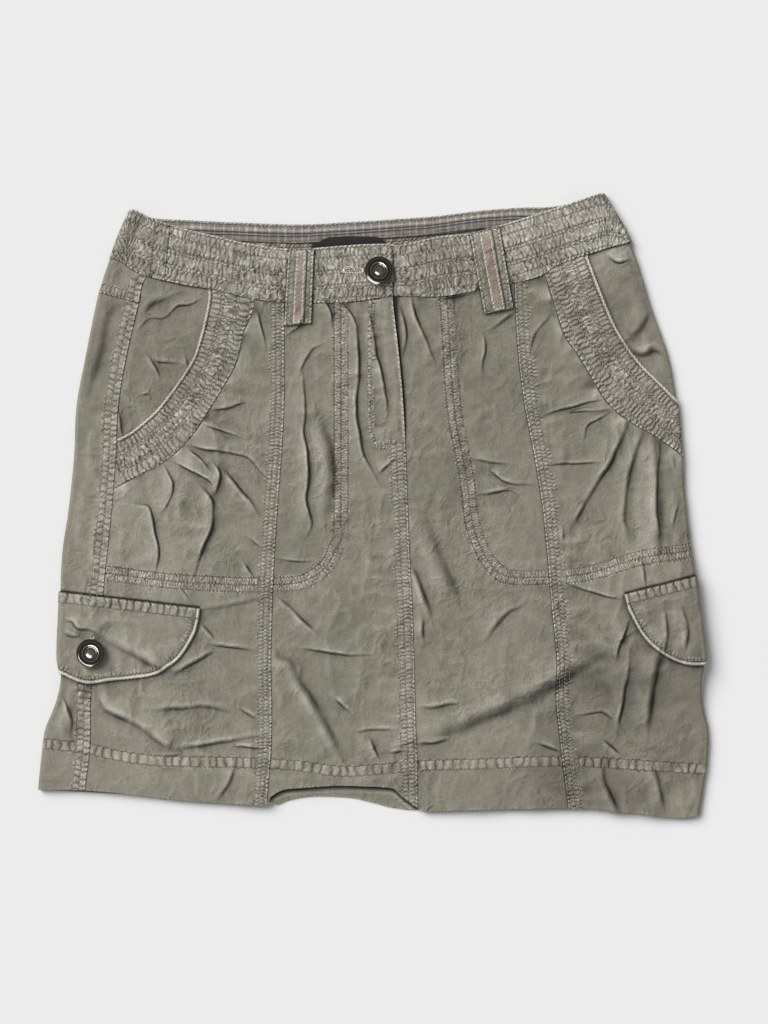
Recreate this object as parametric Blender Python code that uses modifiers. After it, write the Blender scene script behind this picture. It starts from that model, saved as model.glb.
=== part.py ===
"""Cargo-style mini skirt in chino cotton, laid flat with its front up.

Frame: metres, +X across the skirt, +Y towards the waist, +Z up.  The origin is the middle
of the outline, on the surface that the skirt lies on.  "Left" is the side at -X.

The skirt is a tube of cloth pressed flat.  One lattice is wrapped once round the tube: its
columns follow the seams and its rows run from the waist to the hem.  Every cloth piece is a
pattern piece cut from that lattice and laid at its own level, so that pieces that lie on
each other keep their gap on every fold.  The sizes are in millimetres until they are placed.
"""
import math
from collections import namedtuple

import bmesh
import bpy
import numpy as np
from mathutils.geometry import delaunay_2d_cdt

MM = 0.001

# Cloth, seams and the folded side edges.
CLOTH = 1.2
THIN = 1.0
GAP = 0.3
SEAM = GAP / 2
EDGE_RADIUS = 3.0
EDGE_STEPS = 4
RIGHT_WRAP = 26.0       # the right side seam lies this far in from the edge, underneath
HEM_DEPTH = 36.0
HEM_STEP = 1.5          # the double hem comes down to single cloth over this length

# Levels of a piece's two faces, as offsets outward from the skirt's outer face.
Level = namedtuple("Level", "outer inner")
PANEL = Level(0.0, -CLOTH)
HEM_INNER = -2 * CLOTH
WAISTBAND = Level(0.8, -1.7)
BAND = Level(0.5, -CLOTH)
BAG = Level(PANEL.inner - GAP, PANEL.inner - GAP - THIN)
LOOP = Level(WAISTBAND.outer + GAP + CLOTH, WAISTBAND.outer + GAP)
TAPE = Level(LOOP.outer + GAP + THIN, LOOP.outer + GAP)
FLAP = Level(PANEL.outer + GAP + CLOTH, PANEL.outer + GAP)
FACING = Level(WAISTBAND.inner - GAP, WAISTBAND.inner - GAP - THIN)
LABEL = Level(FACING.inner - GAP, FACING.inner - GAP - THIN)
UNDERLAP = Level(WAISTBAND.inner - GAP, WAISTBAND.inner - GAP - 1.5)
ZIP = Level(BAG.outer, BAG.inner)
FLY_SHIELD = Level(ZIP.inner - GAP, ZIP.inner - GAP - THIN)

# Where the edges and the seams lie across the skirt, at heights y, from the waist down.
Section = namedtuple("Section", "y left side_l princess_l centre princess_r right")
SECTIONS = (
    Section(250, -188, -158, -72, 15.5, 113, 184),
    Section(240, -193, -160, -72, 15.5, 113, 190),
    Section(220, -202.5, -163, -72, 15.5, 113, 202),
    Section(200, -210, -166, -72, 15.5, 113, 210.5),
    Section(180, -217, -183, -72, 15.5, 113, 217),
    Section(160, -222.5, -188, -71.5, 16, 113.5, 223),
    Section(120, -230.5, -197.5, -71.5, 20.5, 116, 237),
    Section(80, -238, -204, -71.5, 24, 121, 244),
    Section(40, -240, -206, -73.5, 26, 128.5, 247.5),
    Section(0, -244, -209, -76.5, 27.5, 135, 250),
    Section(-40, -249.5, -213, -79, 29, 139, 255),
    Section(-80, -251, -217, -81, 31, 142.5, 260),
    Section(-120, -252.5, -222, -82, 32.5, 146.5, 265),
    Section(-140, -250.5, -225, -82, 33, 146.5, 262.5),
    Section(-160, -255, -226.5, -81.5, 33.5, 146.5, 263.5),
    Section(-180, -263, -226.5, -81.5, 34, 148.5, 268),
    Section(-200, -266, -227.5, -82, 35, 150.5, 268),
    Section(-230, -269, -231, -84.5, 35.5, 154.5, 264),
    Section(-250, -269, -232, -85.5, 35.5, 157, 261),
)

# Lines that run across the skirt, as (x, y) from left to right: its top edges, the seams
# under the waistband and the yoke, and its hems.
TOP_FRONT = ((-194, 237), (-187, 234), (-175, 228), (-151, 220.5), (-127, 215), (-107, 210),
             (-83, 205.5), (-59, 204), (-19, 207), (12, 208), (19, 207), (29, 208.5), (53, 214),
             (77, 216.5), (101, 223), (133, 233), (165, 243.5), (184, 250))
WAIST_FRONT = ((-211.5, 197), (-203, 195), (-187, 184.5), (-155, 176.5), (-131, 172.5),
               (-99, 165), (-75, 162), (-23, 161.5), (15, 166), (53, 166), (85, 171.5),
               (129, 181), (149, 192), (181, 203), (206, 210))
HEM_FRONT = ((-269, -228.5), (-232, -229), (-193, -232.5), (-155, -237), (-126, -239),
             (-88, -241), (-82, -234), (-72, -228.5), (-59, -227), (-27, -225), (5, -226),
             (16, -227.5), (22, -233), (31, -240), (38, -245), (47, -246), (85, -244.5),
             (172, -243.5), (191, -246.5), (210, -247), (229, -250), (248, -251), (261, -248.5))
TOP_BACK = ((-194, 237), (-179, 230), (-139, 227.5), (-107, 226), (-59, 224.5), (-27, 226),
            (21, 229), (53, 231.5), (85, 235.5), (117, 238), (149, 239.5), (184, 250))
WAIST_BACK = ((-211.5, 197), (-139, 186), (-59, 181), (21, 184), (117, 194), (206, 210))
YOKE_BACK = ((-221, 170), (-150, 152), (-60, 132), (30, 130), (130, 152), (223, 182))
HEM_BACK = ((-269, -228.5), (-155, -235), (-88, -238), (-78, -240.5), (-68, -237),
            (-49, -234), (-20, -235), (-1, -239), (18, -243.5), (47, -244.5), (172, -242),
            (248, -248), (261, -248.5))

# The cloth's rest height above the back, and what lifts the back off the surface.
EDGE_REACH = 45.0       # distance over which an edge's height fades into the panel
# How far the front sags between its folded edges, as (y, sag), and how low it may lie with
# the pocket bags or the double hem under it, as (y, height).
SAG = ((-190, 0.6), (-164, 2.3), (-85, 2.3), (-60, 1.4), (150, 1.4), (190, 0.4))
LOWEST = ((-186, 5.4), (-164, 3.4), (-85, 3.4), (-52, 4.4), (250, 4.4))
Rise = namedtuple("Rise", "x y reach_x reach_y height")
RISES = (
    Rise(-10, 205, 110, 46, 4.9),     # waistband, label and underlap on each other
    Rise(95, 222, 90, 30, 2.6),
    Rise(-110, 216, 70, 24, 1.8),
    Rise(-28, -236, 52, 22, 3.6),     # the front hem stands off the back hem
    Rise(24, 104, 60, 110, 2.3),      # zip and shield behind the fly
)
Lift = namedtuple("Lift", "x y reach_x reach_y fade height")
LIFTS = (
    Lift(0, 222, 260, 52, 14, 0.8),           # the waistband is thicker than the back panel
    Lift(-222, -106, 62, 62, 30, 1.5),        # left flap, turned under
    Lift(206, -80, 100, 74, 30, 1.5),         # right flap, turned under
    Lift(239, -98, 30, 30, 46, 5.7),          # and its button
    Lift(238, 48, 40, 62, 20, 0.5),           # right pocket band, turned under
)

# The largest folds: soft ridges along a bent line, each with a trough on its lee side.
Fold = namedtuple("Fold", "x0 y0 x1 y1 x2 y2 width height")
FOLDS = (
    Fold(-64, 108, -60, 50, -59, -12, 11, 3.2),
    Fold(-20, 150, -21, 95, -16, 42, 9, 2.4),
    Fold(-72, -106, -48, -138, -22, -200, 20, 4.6),
    Fold(-148, 54, -116, 50, -88, 32, 12, 3.6),
    Fold(-140, 20, -137, -12, -152, -54, 14, 3.4),
    Fold(-203, 8, -205, -20, -211, -48, 9, 2.2),
    Fold(-208, -150, -186, -168, -150, -190, 13, 4.0),
    Fold(36, -44, 42, -70, 52, -96, 12, 2.4),
    Fold(44, -178, 94, -156, 190, -102, 18, 4.8),
    Fold(134, 82, 158, 88, 186, 92, 9, 3.0),
    Fold(196, 68, 182, 34, 152, -12, 12, 3.8),
    Fold(220, 56, 219, 16, 216, -26, 13, 4.2),
    Fold(214, -128, 212, -152, 210, -184, 13, 3.4),
    Fold(36, 160, 44, 136, 56, 112, 9, 2.2),
    Fold(-118, -120, -136, -150, -112, -176, 14, 2.2),
    Fold(80, -24, 104, -44, 124, -84, 14, 1.8),
)

# The pocket mouths, the outer edges of their bands and the pocket bags' seam lines.
MOUTH_L = ((-132, 174), (-133, 160), (-139.5, 132), (-148, 111), (-171, 79), (-187, 64),
           (-198, 56), (-214, 48))
BAND_L = ((-94, 168), (-97, 154), (-104, 138), (-109, 116), (-119, 96), (-139, 64),
          (-155, 45), (-171, 32), (-187, 23.5), (-214, 10))
MOUTH_R = ((169, 206), (178, 181), (186, 161), (195, 141), (205, 125), (217, 110),
           (232, 95), (246, 81), (268, 60), (290, 40))
BAND_R = ((135, 192), (143, 166), (153, 136), (165, 118), (183, 88), (193, 76), (209, 64),
          (225, 55), (241, 44), (256, 32), (290, 6))
BAG_L = ((-26, 168), (-26, -12), (-29, -32), (-38, -50), (-54, -61), (-71, -64), (-107, -64.5),
         (-139, -63), (-171, -60.5), (-222, -54))
BAG_R = ((58, 176), (60, 148), (64, 84), (69, 52), (75, 20), (79, -12), (86, -34),
         (96, -50), (109, -58), (140, -58), (173, -55), (213, -43), (253, -37), (296, -28))

# Flaps: the top corner that shows, the tilt of the top edge, and depth against distance.
FLAP_WIDTH = 174.0
Flap = namedtuple("Flap", "corner_x corner_y tilt side near far")
FLAP_DEPTHS_LEFT_NEAR = ((0, 0), (0, 9), (2, 21), (10, 39), (19, 49), (32, 58), (64, 66), (87, 70))
FLAP_DEPTHS_LEFT_FAR = ((0, 0), (0, 8), (5, 24), (15, 38), (30, 48), (50, 57), (87, 70))
FLAP_DEPTHS_RIGHT = ((0, 0), (0, 13), (6, 36), (16, 52), (31, 65), (50, 71), (87, 74))
FLAPS = {
    "flap_left": Flap(-138.8, -83.2, -6.8, -1, FLAP_DEPTHS_LEFT_NEAR, FLAP_DEPTHS_LEFT_FAR),
    "flap_right": Flap(200.4, -71.6, 14.3, 1, FLAP_DEPTHS_RIGHT, FLAP_DEPTHS_RIGHT),
}

# Belt loops, as their four corners, with the tape down the middle.
LOOP_L = ((-67.5, 202.5), (-47.5, 203.2), (-50, 145), (-71.5, 143))
LOOP_R = ((77, 215), (100.5, 221), (112, 157), (89, 152.5))
TAPE_MARGIN = 0.27      # share of the loop's width on each side of the tape

# Fly, waistband underlap, facing and labels.
FLY_TOP = 160.0
FLY_BOTTOM = 50.0
FLY_SHIELD_BOTTOM = 44.0
FLY_LEFT = -8.0         # the zip and the shield lie between these, from the fly's edge
FLY_RIGHT = 26.0
ZIP_RIGHT = 12.0
FLY_POINTS = 5
UNDERLAP_LENGTH = 26.0
UNDERLAP_RAMP = 5.0
FACING_TOP = 1.5        # the facing starts this far below the back's top edge
FACING_DEPTH = 10.5
LABEL_X = (-42.5, 8.5)
LABEL_Y = (217.0, 196.0)
SIZE_TAB_X = (-49.0, -33.0)
SIZE_TAB_Y = (210.5, 197.0)

# Buttons: a dished four-part button, as radius and height from its axis outward.
BUTTON_RADIUS = 11.2
BUTTON_PROFILE = ((0.0, 0.0), (1.0, 0.0), (1.0, 0.22), (0.95, 0.31), (0.86, 0.34), (0.76, 0.30),
                  (0.62, 0.21), (0.55, 0.23), (0.50, 0.15), (0.30, 0.13), (0.20, 0.21), (0.0, 0.23))
BUTTON_STEPS = 20
WAIST_BUTTON = (4.4, 186.4)
FLAP_BUTTON_LEFT = (-226.0, -118.8)
FLAP_BUTTON_RIGHT = (236.0, -98.0)

# Lattice density.
BACK_SHARES = (0.06, 0.14, 0.21, 0.27, 0.33, 0.46, 0.6, 0.755, 0.82, 0.88, 0.95, 1.0)
BEYOND_COLUMNS = 5      # the columns past the right side seam that the right flap reaches over
PANEL_COLUMNS = {"wrap": 2, "side_l": 8, "front_l": 6, "front_r": 6, "side_r": 8}
UNDER_COLUMNS = 2
WAIST_ROWS = 3
FLAT_ANGLE = math.radians(0.1)
TRACE_STEP = 1.0        # how finely a cut line is followed across the lattice
SAME_POINT = 0.03       # in lattice cells
PANEL_ROWS = 21

COLOURS = {
    "cloth": ((0.205, 0.190, 0.150, 1.0), 0.92, 0.0),
    "check": ((0.250, 0.215, 0.185, 1.0), 0.90, 0.0),
    "tape": ((0.300, 0.235, 0.190, 1.0), 0.88, 0.0),
    "metal": ((0.070, 0.068, 0.064, 1.0), 0.30, 1.0),
    "label": ((0.020, 0.020, 0.020, 1.0), 0.60, 0.0),
    "zip": ((0.110, 0.090, 0.075, 1.0), 0.70, 0.2),
}


def line(points):
    """y along a line that runs across the skirt."""
    xs, ys = zip(*points)
    return lambda x: float(np.interp(x, xs, ys))


def seam(field):
    """x along an edge or a seam that runs from the waist to the hem."""
    ys = [row.y for row in reversed(SECTIONS)]
    xs = [getattr(row, field) for row in reversed(SECTIONS)]
    return lambda y: float(np.interp(y, ys, xs))


left_edge = seam("left")
right_edge = seam("right")


def smooth(t):
    """Eases from 0 to 1 as t does."""
    t = min(max(t, 0.0), 1.0)
    return t * t * (3 - 2 * t)


def lift(x, y):
    """How far the back is held off the surface by what is turned under it."""
    height = 0.0
    for bump in LIFTS:
        away = math.hypot(max(abs(x - bump.x) - bump.reach_x, 0.0),
                          max(abs(y - bump.y) - bump.reach_y, 0.0))
        height = max(height, bump.height * smooth(1 - away / bump.fade))
    return height


def fold_height(fold, x, y):
    """A ridge along the fold's two straight stretches, with a shallow trough to its lee."""
    points = ((fold.x0, fold.y0), (fold.x1, fold.y1), (fold.x2, fold.y2))
    total = 0.0
    for (ax, ay), (bx, by) in zip(points, points[1:]):
        length = math.hypot(bx - ax, by - ay)
        ux, uy = (bx - ax) / length, (by - ay) / length
        along = min(max((x - ax) * ux + (y - ay) * uy, 0.0), length)
        dx, dy = x - ax - along * ux, y - ay - along * uy
        away = math.hypot(dx, dy)
        lee = max(dx * 0.6 - dy * 0.8, 0.0) / fold.width
        ridge = math.exp(-(away / fold.width) ** 2)
        trough = 0.35 * lee * math.exp(-(away / fold.width / 1.4) ** 2)
        total = max(total, ridge - trough, key=abs)
    return fold.height * total


def front_height(x, y):
    """Height of the front's outer face."""
    inward = min(x - left_edge(y), right_edge(y) - x) - EDGE_RADIUS
    fade = smooth(inward / EDGE_REACH)
    close = smooth(inward / (0.5 * EDGE_REACH))
    height = -line(SAG)(y) * fade
    for rise in RISES:
        reach = math.hypot((x - rise.x) / rise.reach_x, (y - rise.y) / rise.reach_y)
        height += rise.height * smooth(1.25 - reach) * close
    height += sum(fold_height(fold, x, y) for fold in FOLDS) * close
    base = lift(x, y)
    return max(base + 2 * EDGE_RADIUS + height, base + line(LOWEST)(y))


class Column:
    """One line of the lattice from waist to hem: on the front, round an edge or underneath."""

    def __init__(self, kind, place):
        self.kind = kind
        self.place = place      # x at a height y, or the angle round an edge

    def x(self, y):
        if self.kind == "left_roll":
            return left_edge(y) + EDGE_RADIUS
        if self.kind == "right_roll":
            return right_edge(y) - EDGE_RADIUS
        return self.place(y)

    def unrolled(self, y):
        """Distance along the cloth, equal to x on the front."""
        left = left_edge(y) + EDGE_RADIUS
        right = right_edge(y) - EDGE_RADIUS
        turn = math.pi * EDGE_RADIUS
        if self.kind == "left_roll":
            return left - EDGE_RADIUS * self.place
        if self.kind == "right_roll":
            return right + EDGE_RADIUS * self.place
        if self.kind == "back":
            return left - turn - (self.x(y) - left)
        if self.kind in ("under", "beyond"):
            return right + turn + (right - self.x(y))
        return self.x(y)

    def line_height(self, front_line, back_line):
        """Where a line across the skirt meets this column."""
        y = 0.0
        table = back_line if self.kind in ("back", "under", "beyond") else front_line
        for _ in range(12):
            y = table(self.x(y))
        return y

    def point(self, y, level):
        x = self.x(y)
        if self.kind in ("left_roll", "right_roll"):
            side = -1 if self.kind == "left_roll" else 1
            radius = EDGE_RADIUS + level
            middle = lift(x, y) + EDGE_RADIUS
            return (x + side * radius * math.sin(self.place), y,
                    middle + radius * math.cos(self.place))
        if self.kind in ("back", "under", "beyond"):
            return (x, y, lift(x, y) - level)
        return (x, y, front_height(x, y) + level)


def between(start, end, share, nudge=0.0):
    """x a share of the way from one seam to another."""
    return lambda y: start(y) + (end(y) - start(y)) * share + nudge


def plan_columns():
    """All the columns, from the right side seam underneath, round the tube, back to it."""
    left = between(left_edge, left_edge, 0, EDGE_RADIUS)
    right = between(right_edge, right_edge, 0, -EDGE_RADIUS)
    side_seam_r = between(right_edge, right_edge, 0, -RIGHT_WRAP)
    across_back = [between(side_seam_r, side_seam_r, 0, -SEAM)]
    across_back += [between(side_seam_r, left, share) for share in BACK_SHARES]
    columns = [Column("back", place) for place in across_back]
    for k in range(1, EDGE_STEPS):
        columns.append(Column("left_roll", math.pi * (1 - k / EDGE_STEPS)))
    marks = {}
    borders = [left, seam("side_l"), seam("princess_l"), seam("centre"), seam("princess_r"), right]
    names = ("side_l", "princess_l", "centre", "princess_r")
    columns.append(Column("front", left))
    marks["left"] = len(columns) - 1
    for n, count in enumerate(PANEL_COLUMNS.values()):
        start, end = borders[n], borders[n + 1]
        for k in range(1, count):
            columns.append(Column("front", between(start, end, k / count)))
        if n < len(names):
            columns.append(Column("front", between(end, end, 0, -SEAM)))
            marks[names[n]] = len(columns) - 1
            columns.append(Column("front", between(end, end, 0, SEAM)))
    columns.append(Column("front", right))
    marks["right"] = len(columns) - 1
    for k in range(1, EDGE_STEPS):
        columns.append(Column("right_roll", math.pi * k / EDGE_STEPS))
    for k in range(UNDER_COLUMNS):
        columns.append(Column("under", between(right, side_seam_r, k / UNDER_COLUMNS)))
    columns.append(Column("under", between(side_seam_r, side_seam_r, 0, SEAM)))
    marks["end"] = len(columns) - 1
    columns += [Column("beyond", place) for place in across_back[:BEYOND_COLUMNS]]
    return columns, marks


class Lattice:
    """The grid round the tube, with positions read anywhere on it at any level."""

    def __init__(self):
        self.columns, self.marks = plan_columns()
        heights = []
        for column in self.columns:
            top = column.line_height(line(TOP_FRONT), line(TOP_BACK))
            waist = column.line_height(line(WAIST_FRONT), line(WAIST_BACK))
            hem = column.line_height(line(HEM_FRONT), line(HEM_BACK))
            rows = list(np.linspace(top, waist + SEAM, WAIST_ROWS + 1))
            rows += list(np.linspace(waist - SEAM, hem + HEM_DEPTH + HEM_STEP, PANEL_ROWS - 2))
            rows += [hem + HEM_DEPTH, hem + HEM_DEPTH / 2, hem]
            heights.append(rows)
        self.y = np.array(heights)
        self.s = np.array([[column.unrolled(y) for y in rows]
                           for column, rows in zip(self.columns, heights)])
        self.last_row = self.y.shape[1] - 1
        self.waist_row = WAIST_ROWS
        self.panel_row = WAIST_ROWS + 1
        self.hem_row = self.last_row - 2
        self.nodes = {}

    def node(self, i, j, level):
        key = (i, j, round(level, 4))
        if key not in self.nodes:
            self.nodes[key] = np.array(self.columns[i].point(self.y[i, j], level))
        return self.nodes[key]

    def find(self, s, y):
        """Lattice coordinates of a point given by its place along the cloth and its height."""
        best = None
        for upper in (True, False):
            first = np.stack([self.s[:-1, :-1], self.y[:-1, :-1]], -1)
            second = (np.stack([self.s[1:, :-1], self.y[1:, :-1]], -1) if upper
                      else np.stack([self.s[:-1, 1:], self.y[:-1, 1:]], -1))
            third = np.stack([self.s[1:, 1:], self.y[1:, 1:]], -1)
            p, q, r = second - first, third - first, np.array([s, y]) - first
            area = p[..., 0] * q[..., 1] - p[..., 1] * q[..., 0]
            share_q = (p[..., 0] * r[..., 1] - p[..., 1] * r[..., 0]) / area
            share_p = (r[..., 0] * q[..., 1] - r[..., 1] * q[..., 0]) / area
            inside = np.minimum(np.minimum(share_p, share_q), 1 - share_p - share_q)
            i, j = np.unravel_index(np.argmax(inside), inside.shape)
            if best is None or inside[i, j] > best[0]:
                along, aside = share_q[i, j], share_p[i, j]
                best = ((inside[i, j], i + along + aside, j + along) if upper
                        else (inside[i, j], i + along, j + along + aside))
        return float(best[1]), float(best[2])

    def at(self, a, b, level):
        """A point on the flat triangle of the lattice that holds (a, b)."""
        i = min(int(a), self.s.shape[0] - 2)
        j = min(int(b), self.s.shape[1] - 2)
        fa, fb = a - i, b - j
        if fa >= fb:
            corners = ((i, j, 1 - fa), (i + 1, j, fa - fb), (i + 1, j + 1, fb))
        else:
            corners = ((i, j, 1 - fb), (i, j + 1, fb - fa), (i + 1, j + 1, fa))
        return sum(self.node(ci, cj, level) * share for ci, cj, share in corners if share > 1e-9)


def along_row(j, start, end):
    """Lattice coordinates along a row, from one column to another."""
    step = 1 if end >= start else -1
    return [(float(i), float(j)) for i in range(start, end + step, step)]


def along_column(i, start, end):
    step = 1 if end >= start else -1
    return [(float(i), float(j)) for j in range(start, end + step, step)]


def ring(points, lattice):
    """Lattice coordinates of a closed outline."""
    return trace([*points, points[0]], lattice)[:-1]


def shifted(points, distance):
    """A polyline moved sideways, to the right of its direction."""
    moved = []
    for n, (x, y) in enumerate(points):
        ax, ay = points[max(n - 1, 0)]
        bx, by = points[min(n + 1, len(points) - 1)]
        length = math.hypot(bx - ax, by - ay)
        moved.append((x + (by - ay) / length * distance, y - (bx - ax) / length * distance))
    return moved


def rounded(points, spacing=14.0):
    """A smooth curve through the points, as a polyline of about the given spacing."""
    knots = [points[0], *points, points[-1]]
    curve = []
    for p0, p1, p2, p3 in zip(knots, knots[1:], knots[2:], knots[3:]):
        steps = max(1, round(math.dist(p1, p2) / spacing))
        for k in range(steps):
            t = k / steps
            curve.append(tuple(
                0.5 * (2 * b + (c - a) * t + (2 * a - 5 * b + 4 * c - d) * t * t
                       + (3 * b - a - 3 * c + d) * t ** 3)
                for a, b, c, d in zip(p0, p1, p2, p3)))
    return curve + [points[-1]]


def trace(path, lattice):
    """Lattice coordinates of a polyline, with a corner wherever it crosses the lattice."""
    traced = [lattice.find(*path[0])]
    for start, end in zip(path, path[1:]):
        steps = max(1, math.ceil(math.dist(start, end) / TRACE_STEP))
        last = traced[-1]
        for k in range(1, steps + 1):
            share = k / steps
            here = lattice.find(start[0] + (end[0] - start[0]) * share,
                                start[1] + (end[1] - start[1]) * share)
            crossings = []
            for p, q in zip((*last, last[0] - last[1]), (*here, here[0] - here[1])):
                low, high = sorted((p, q))
                for whole in range(math.ceil(low), math.floor(high) + 1):
                    if low < whole < high:
                        crossings.append((whole - p) / (q - p))
            for t in sorted(crossings):
                traced.append((last[0] + (here[0] - last[0]) * t,
                               last[1] + (here[1] - last[1]) * t))
            last = here
        traced.append(last)
    return thin_out(traced)


def thin_out(points):
    """Drops a point that lies almost on the one before it."""
    kept = [points[0]]
    for point in points[1:]:
        if math.dist(point, kept[-1]) > SAME_POINT:
            kept.append(point)
    return kept


def crop(path, lattice, low, high, axis):
    """Lattice coordinates of a path, ended exactly where it crosses the two lattice lines."""
    found = trace(path, lattice)
    kept = []
    for p, q in zip(found, found[1:]):
        for limit in sorted((low, high), reverse=q[axis] < p[axis]):
            if (p[axis] - limit) * (q[axis] - limit) < 0:
                t = (limit - p[axis]) / (q[axis] - p[axis])
                cut = [p[0] + (q[0] - p[0]) * t, p[1] + (q[1] - p[1]) * t]
                cut[axis] = limit
                kept.append(tuple(cut))
        if low < q[axis] < high:
            kept.append(q)
    if low < found[0][axis] < high:
        kept.insert(0, found[0])
    return kept


def material(slot):
    existing = bpy.data.materials.get(slot)
    if existing:
        return existing
    colour, roughness, metallic = COLOURS[slot]
    made = bpy.data.materials.new(slot)
    made.use_nodes = True
    shader = made.node_tree.nodes["Principled BSDF"]
    shader.inputs["Base Color"].default_value = colour
    shader.inputs["Roughness"].default_value = roughness
    shader.inputs["Metallic"].default_value = metallic
    return made


def add_object(name, mesh, slot, collection):
    thing = bpy.data.objects.new(name, mesh)
    mesh.materials.append(material(slot))
    collection.objects.link(thing)
    return thing


def level_at(value, a, b):
    return value(a, b) if callable(value) else value


def cut_piece(name, lattice, outline, level, slot, collection):
    """Cuts a pattern piece from the lattice and gives it its two faces and its edge."""
    us = [p[0] for p in outline]
    vs = [p[1] for p in outline]
    turning = sum(u0 * v1 - u1 * v0 for u0, v0, u1, v1
                  in zip(us, vs, us[1:] + us[:1], vs[1:] + vs[:1]))
    if turning < 0:
        outline = outline[::-1]
    i0, i1 = math.floor(min(us)), math.ceil(max(us))
    j0, j1 = math.floor(min(vs)), math.ceil(max(vs))
    verts = [(float(i), float(j)) for i in range(i0, i1 + 1) for j in range(j0, j1 + 1)]
    height = j1 - j0 + 1
    edges = []
    for i in range(i1 - i0 + 1):
        for j in range(height):
            n = i * height + j
            if i < i1 - i0:
                edges.append((n, n + height))
            if j < height - 1:
                edges.append((n, n + 1))
            if i < i1 - i0 and j < height - 1:
                edges.append((n, n + height + 1))
    first = len(verts)
    verts += outline
    border = list(range(first, len(verts)))
    found, _, faces, _, _, sources = delaunay_2d_cdt(verts, edges, [border], 0, 1e-4)
    shape = bmesh.new()
    made = {}
    coords = []
    for face, source in zip(faces, sources):
        if not source:
            continue
        corners = []
        for n in face:
            if n not in made:
                a, b = found[n]
                made[n] = shape.verts.new(lattice.at(a, b, level_at(level.outer, a, b)) * MM)
                coords.append((a, b))
            corners.append(made[n])
        shape.faces.new(corners)
    shape.verts.index_update()
    count = len(shape.verts)
    inner = [lattice.at(a, b, level_at(level.inner, a, b)) * MM for a, b in coords]
    ret = bmesh.ops.extrude_face_region(shape, geom=shape.faces[:], use_keep_orig=True)
    extruded = [v for v in ret["geom"] if isinstance(v, bmesh.types.BMVert)]
    pairs = {}
    for vert in extruded:
        key = tuple(round(c, 9) for c in vert.co)
        pairs.setdefault(key, []).append(vert)
    shape.verts.ensure_lookup_table()
    for n in range(count):
        key = tuple(round(c, 9) for c in shape.verts[n].co)
        pairs[key].pop().co = inner[n]
    bmesh.ops.recalc_face_normals(shape, faces=shape.faces[:])
    mesh = bpy.data.meshes.new(name)
    shape.to_mesh(mesh)
    shape.free()
    piece = add_object(name, mesh, slot, collection)
    plain = piece.modifiers.new("join flat faces", "DECIMATE")
    plain.decimate_type = "DISSOLVE"
    plain.angle_limit = FLAT_ANGLE
    return piece


def hem_level(lattice):
    """A panel is single cloth down to its hem, and double below."""
    def inner(a, b):
        return HEM_INNER if b > lattice.hem_row - 1e-6 else PANEL.inner
    return Level(PANEL.outer, inner)


def build_back(lattice, collection):
    marks = lattice.marks
    side = marks["side_l"]
    yoke_front = line(YOKE_BACK)
    seam_path = []
    for i in range(side + 1):
        column = lattice.columns[i]
        y = column.line_height(yoke_front, yoke_front)
        seam_path.append((column.unrolled(y), y))
    above = [lattice.find(s, y + SEAM) for s, y in seam_path]
    below = [lattice.find(s, y - SEAM) for s, y in seam_path]
    for i in range(side + 1):
        above[i] = (float(i), above[i][1])
        below[i] = (float(i), below[i][1])
    waist = along_row(lattice.panel_row, side, 0)
    cut_piece("back_yoke", lattice, waist + above, PANEL, "cloth", collection)
    hem = along_row(lattice.last_row, side, 0)
    rows = [j for j in range(lattice.panel_row, lattice.last_row) if j > below[side][1] + 0.02]
    down = [(float(side), float(j)) for j in rows]
    up = [(0.0, float(j)) for j in reversed(range(lattice.last_row)) if j > below[0][1] + 0.02]
    cut_piece("back_panel", lattice, below + down + hem + up, hem_level(lattice), "cloth",
              collection)
    band = (along_row(0, 0, side) + along_column(side, 1, lattice.waist_row)
            + along_row(lattice.waist_row, side - 1, 0) + along_column(0, lattice.waist_row - 1, 1))
    cut_piece("waistband_back", lattice, band, WAISTBAND, "cloth", collection)


def build_facing_and_labels(lattice, collection):
    """The check tape inside the back waistband, and the bare labels sewn below it."""
    last = lattice.marks["left"] - EDGE_STEPS
    top = line(TOP_BACK)

    def inside(x, y):
        """A point on the inner face of the back, by its place along the cloth."""
        near = min(range(last + 1), key=lambda i: abs(lattice.columns[i].x(y) - x))
        column = lattice.columns[near]
        return (column.unrolled(y) - (x - column.x(y)), y)

    xs = [lattice.columns[i].x(215) for i in range(1, last)]
    upper = [inside(x, top(x) - FACING_TOP) for x in xs]
    lower = [inside(x, top(x) - FACING_TOP - FACING_DEPTH) for x in reversed(xs)]
    cut_piece("waistband_facing", lattice, ring(upper + lower, lattice), FACING, "check",
              collection)

    def sheet(name, x_range, y_range, level):
        corners = [(x_range[0], y_range[0]), (x_range[1], y_range[0]),
                   (x_range[1], y_range[1]), (x_range[0], y_range[1])]
        cut_piece(name, lattice, ring([inside(*c) for c in corners], lattice), level, "label",
                  collection)

    sheet("label_main", LABEL_X, LABEL_Y, LABEL)
    sheet("label_size", SIZE_TAB_X, SIZE_TAB_Y, FACING)


def build_front(lattice, collection):
    marks = lattice.marks
    top, bottom = lattice.panel_row, lattice.last_row
    panels = {"front_left": ("princess_l", "centre"), "front_right": ("centre", "princess_r")}
    for name, (start, end) in panels.items():
        a, b = marks[start] + 1, marks[end]
        outline = (along_row(top, a, b) + along_column(b, top + 1, bottom)
                   + along_row(bottom, b - 1, a) + along_column(a, bottom - 1, top + 1))
        cut_piece(name, lattice, outline, hem_level(lattice), "cloth", collection)


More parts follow.
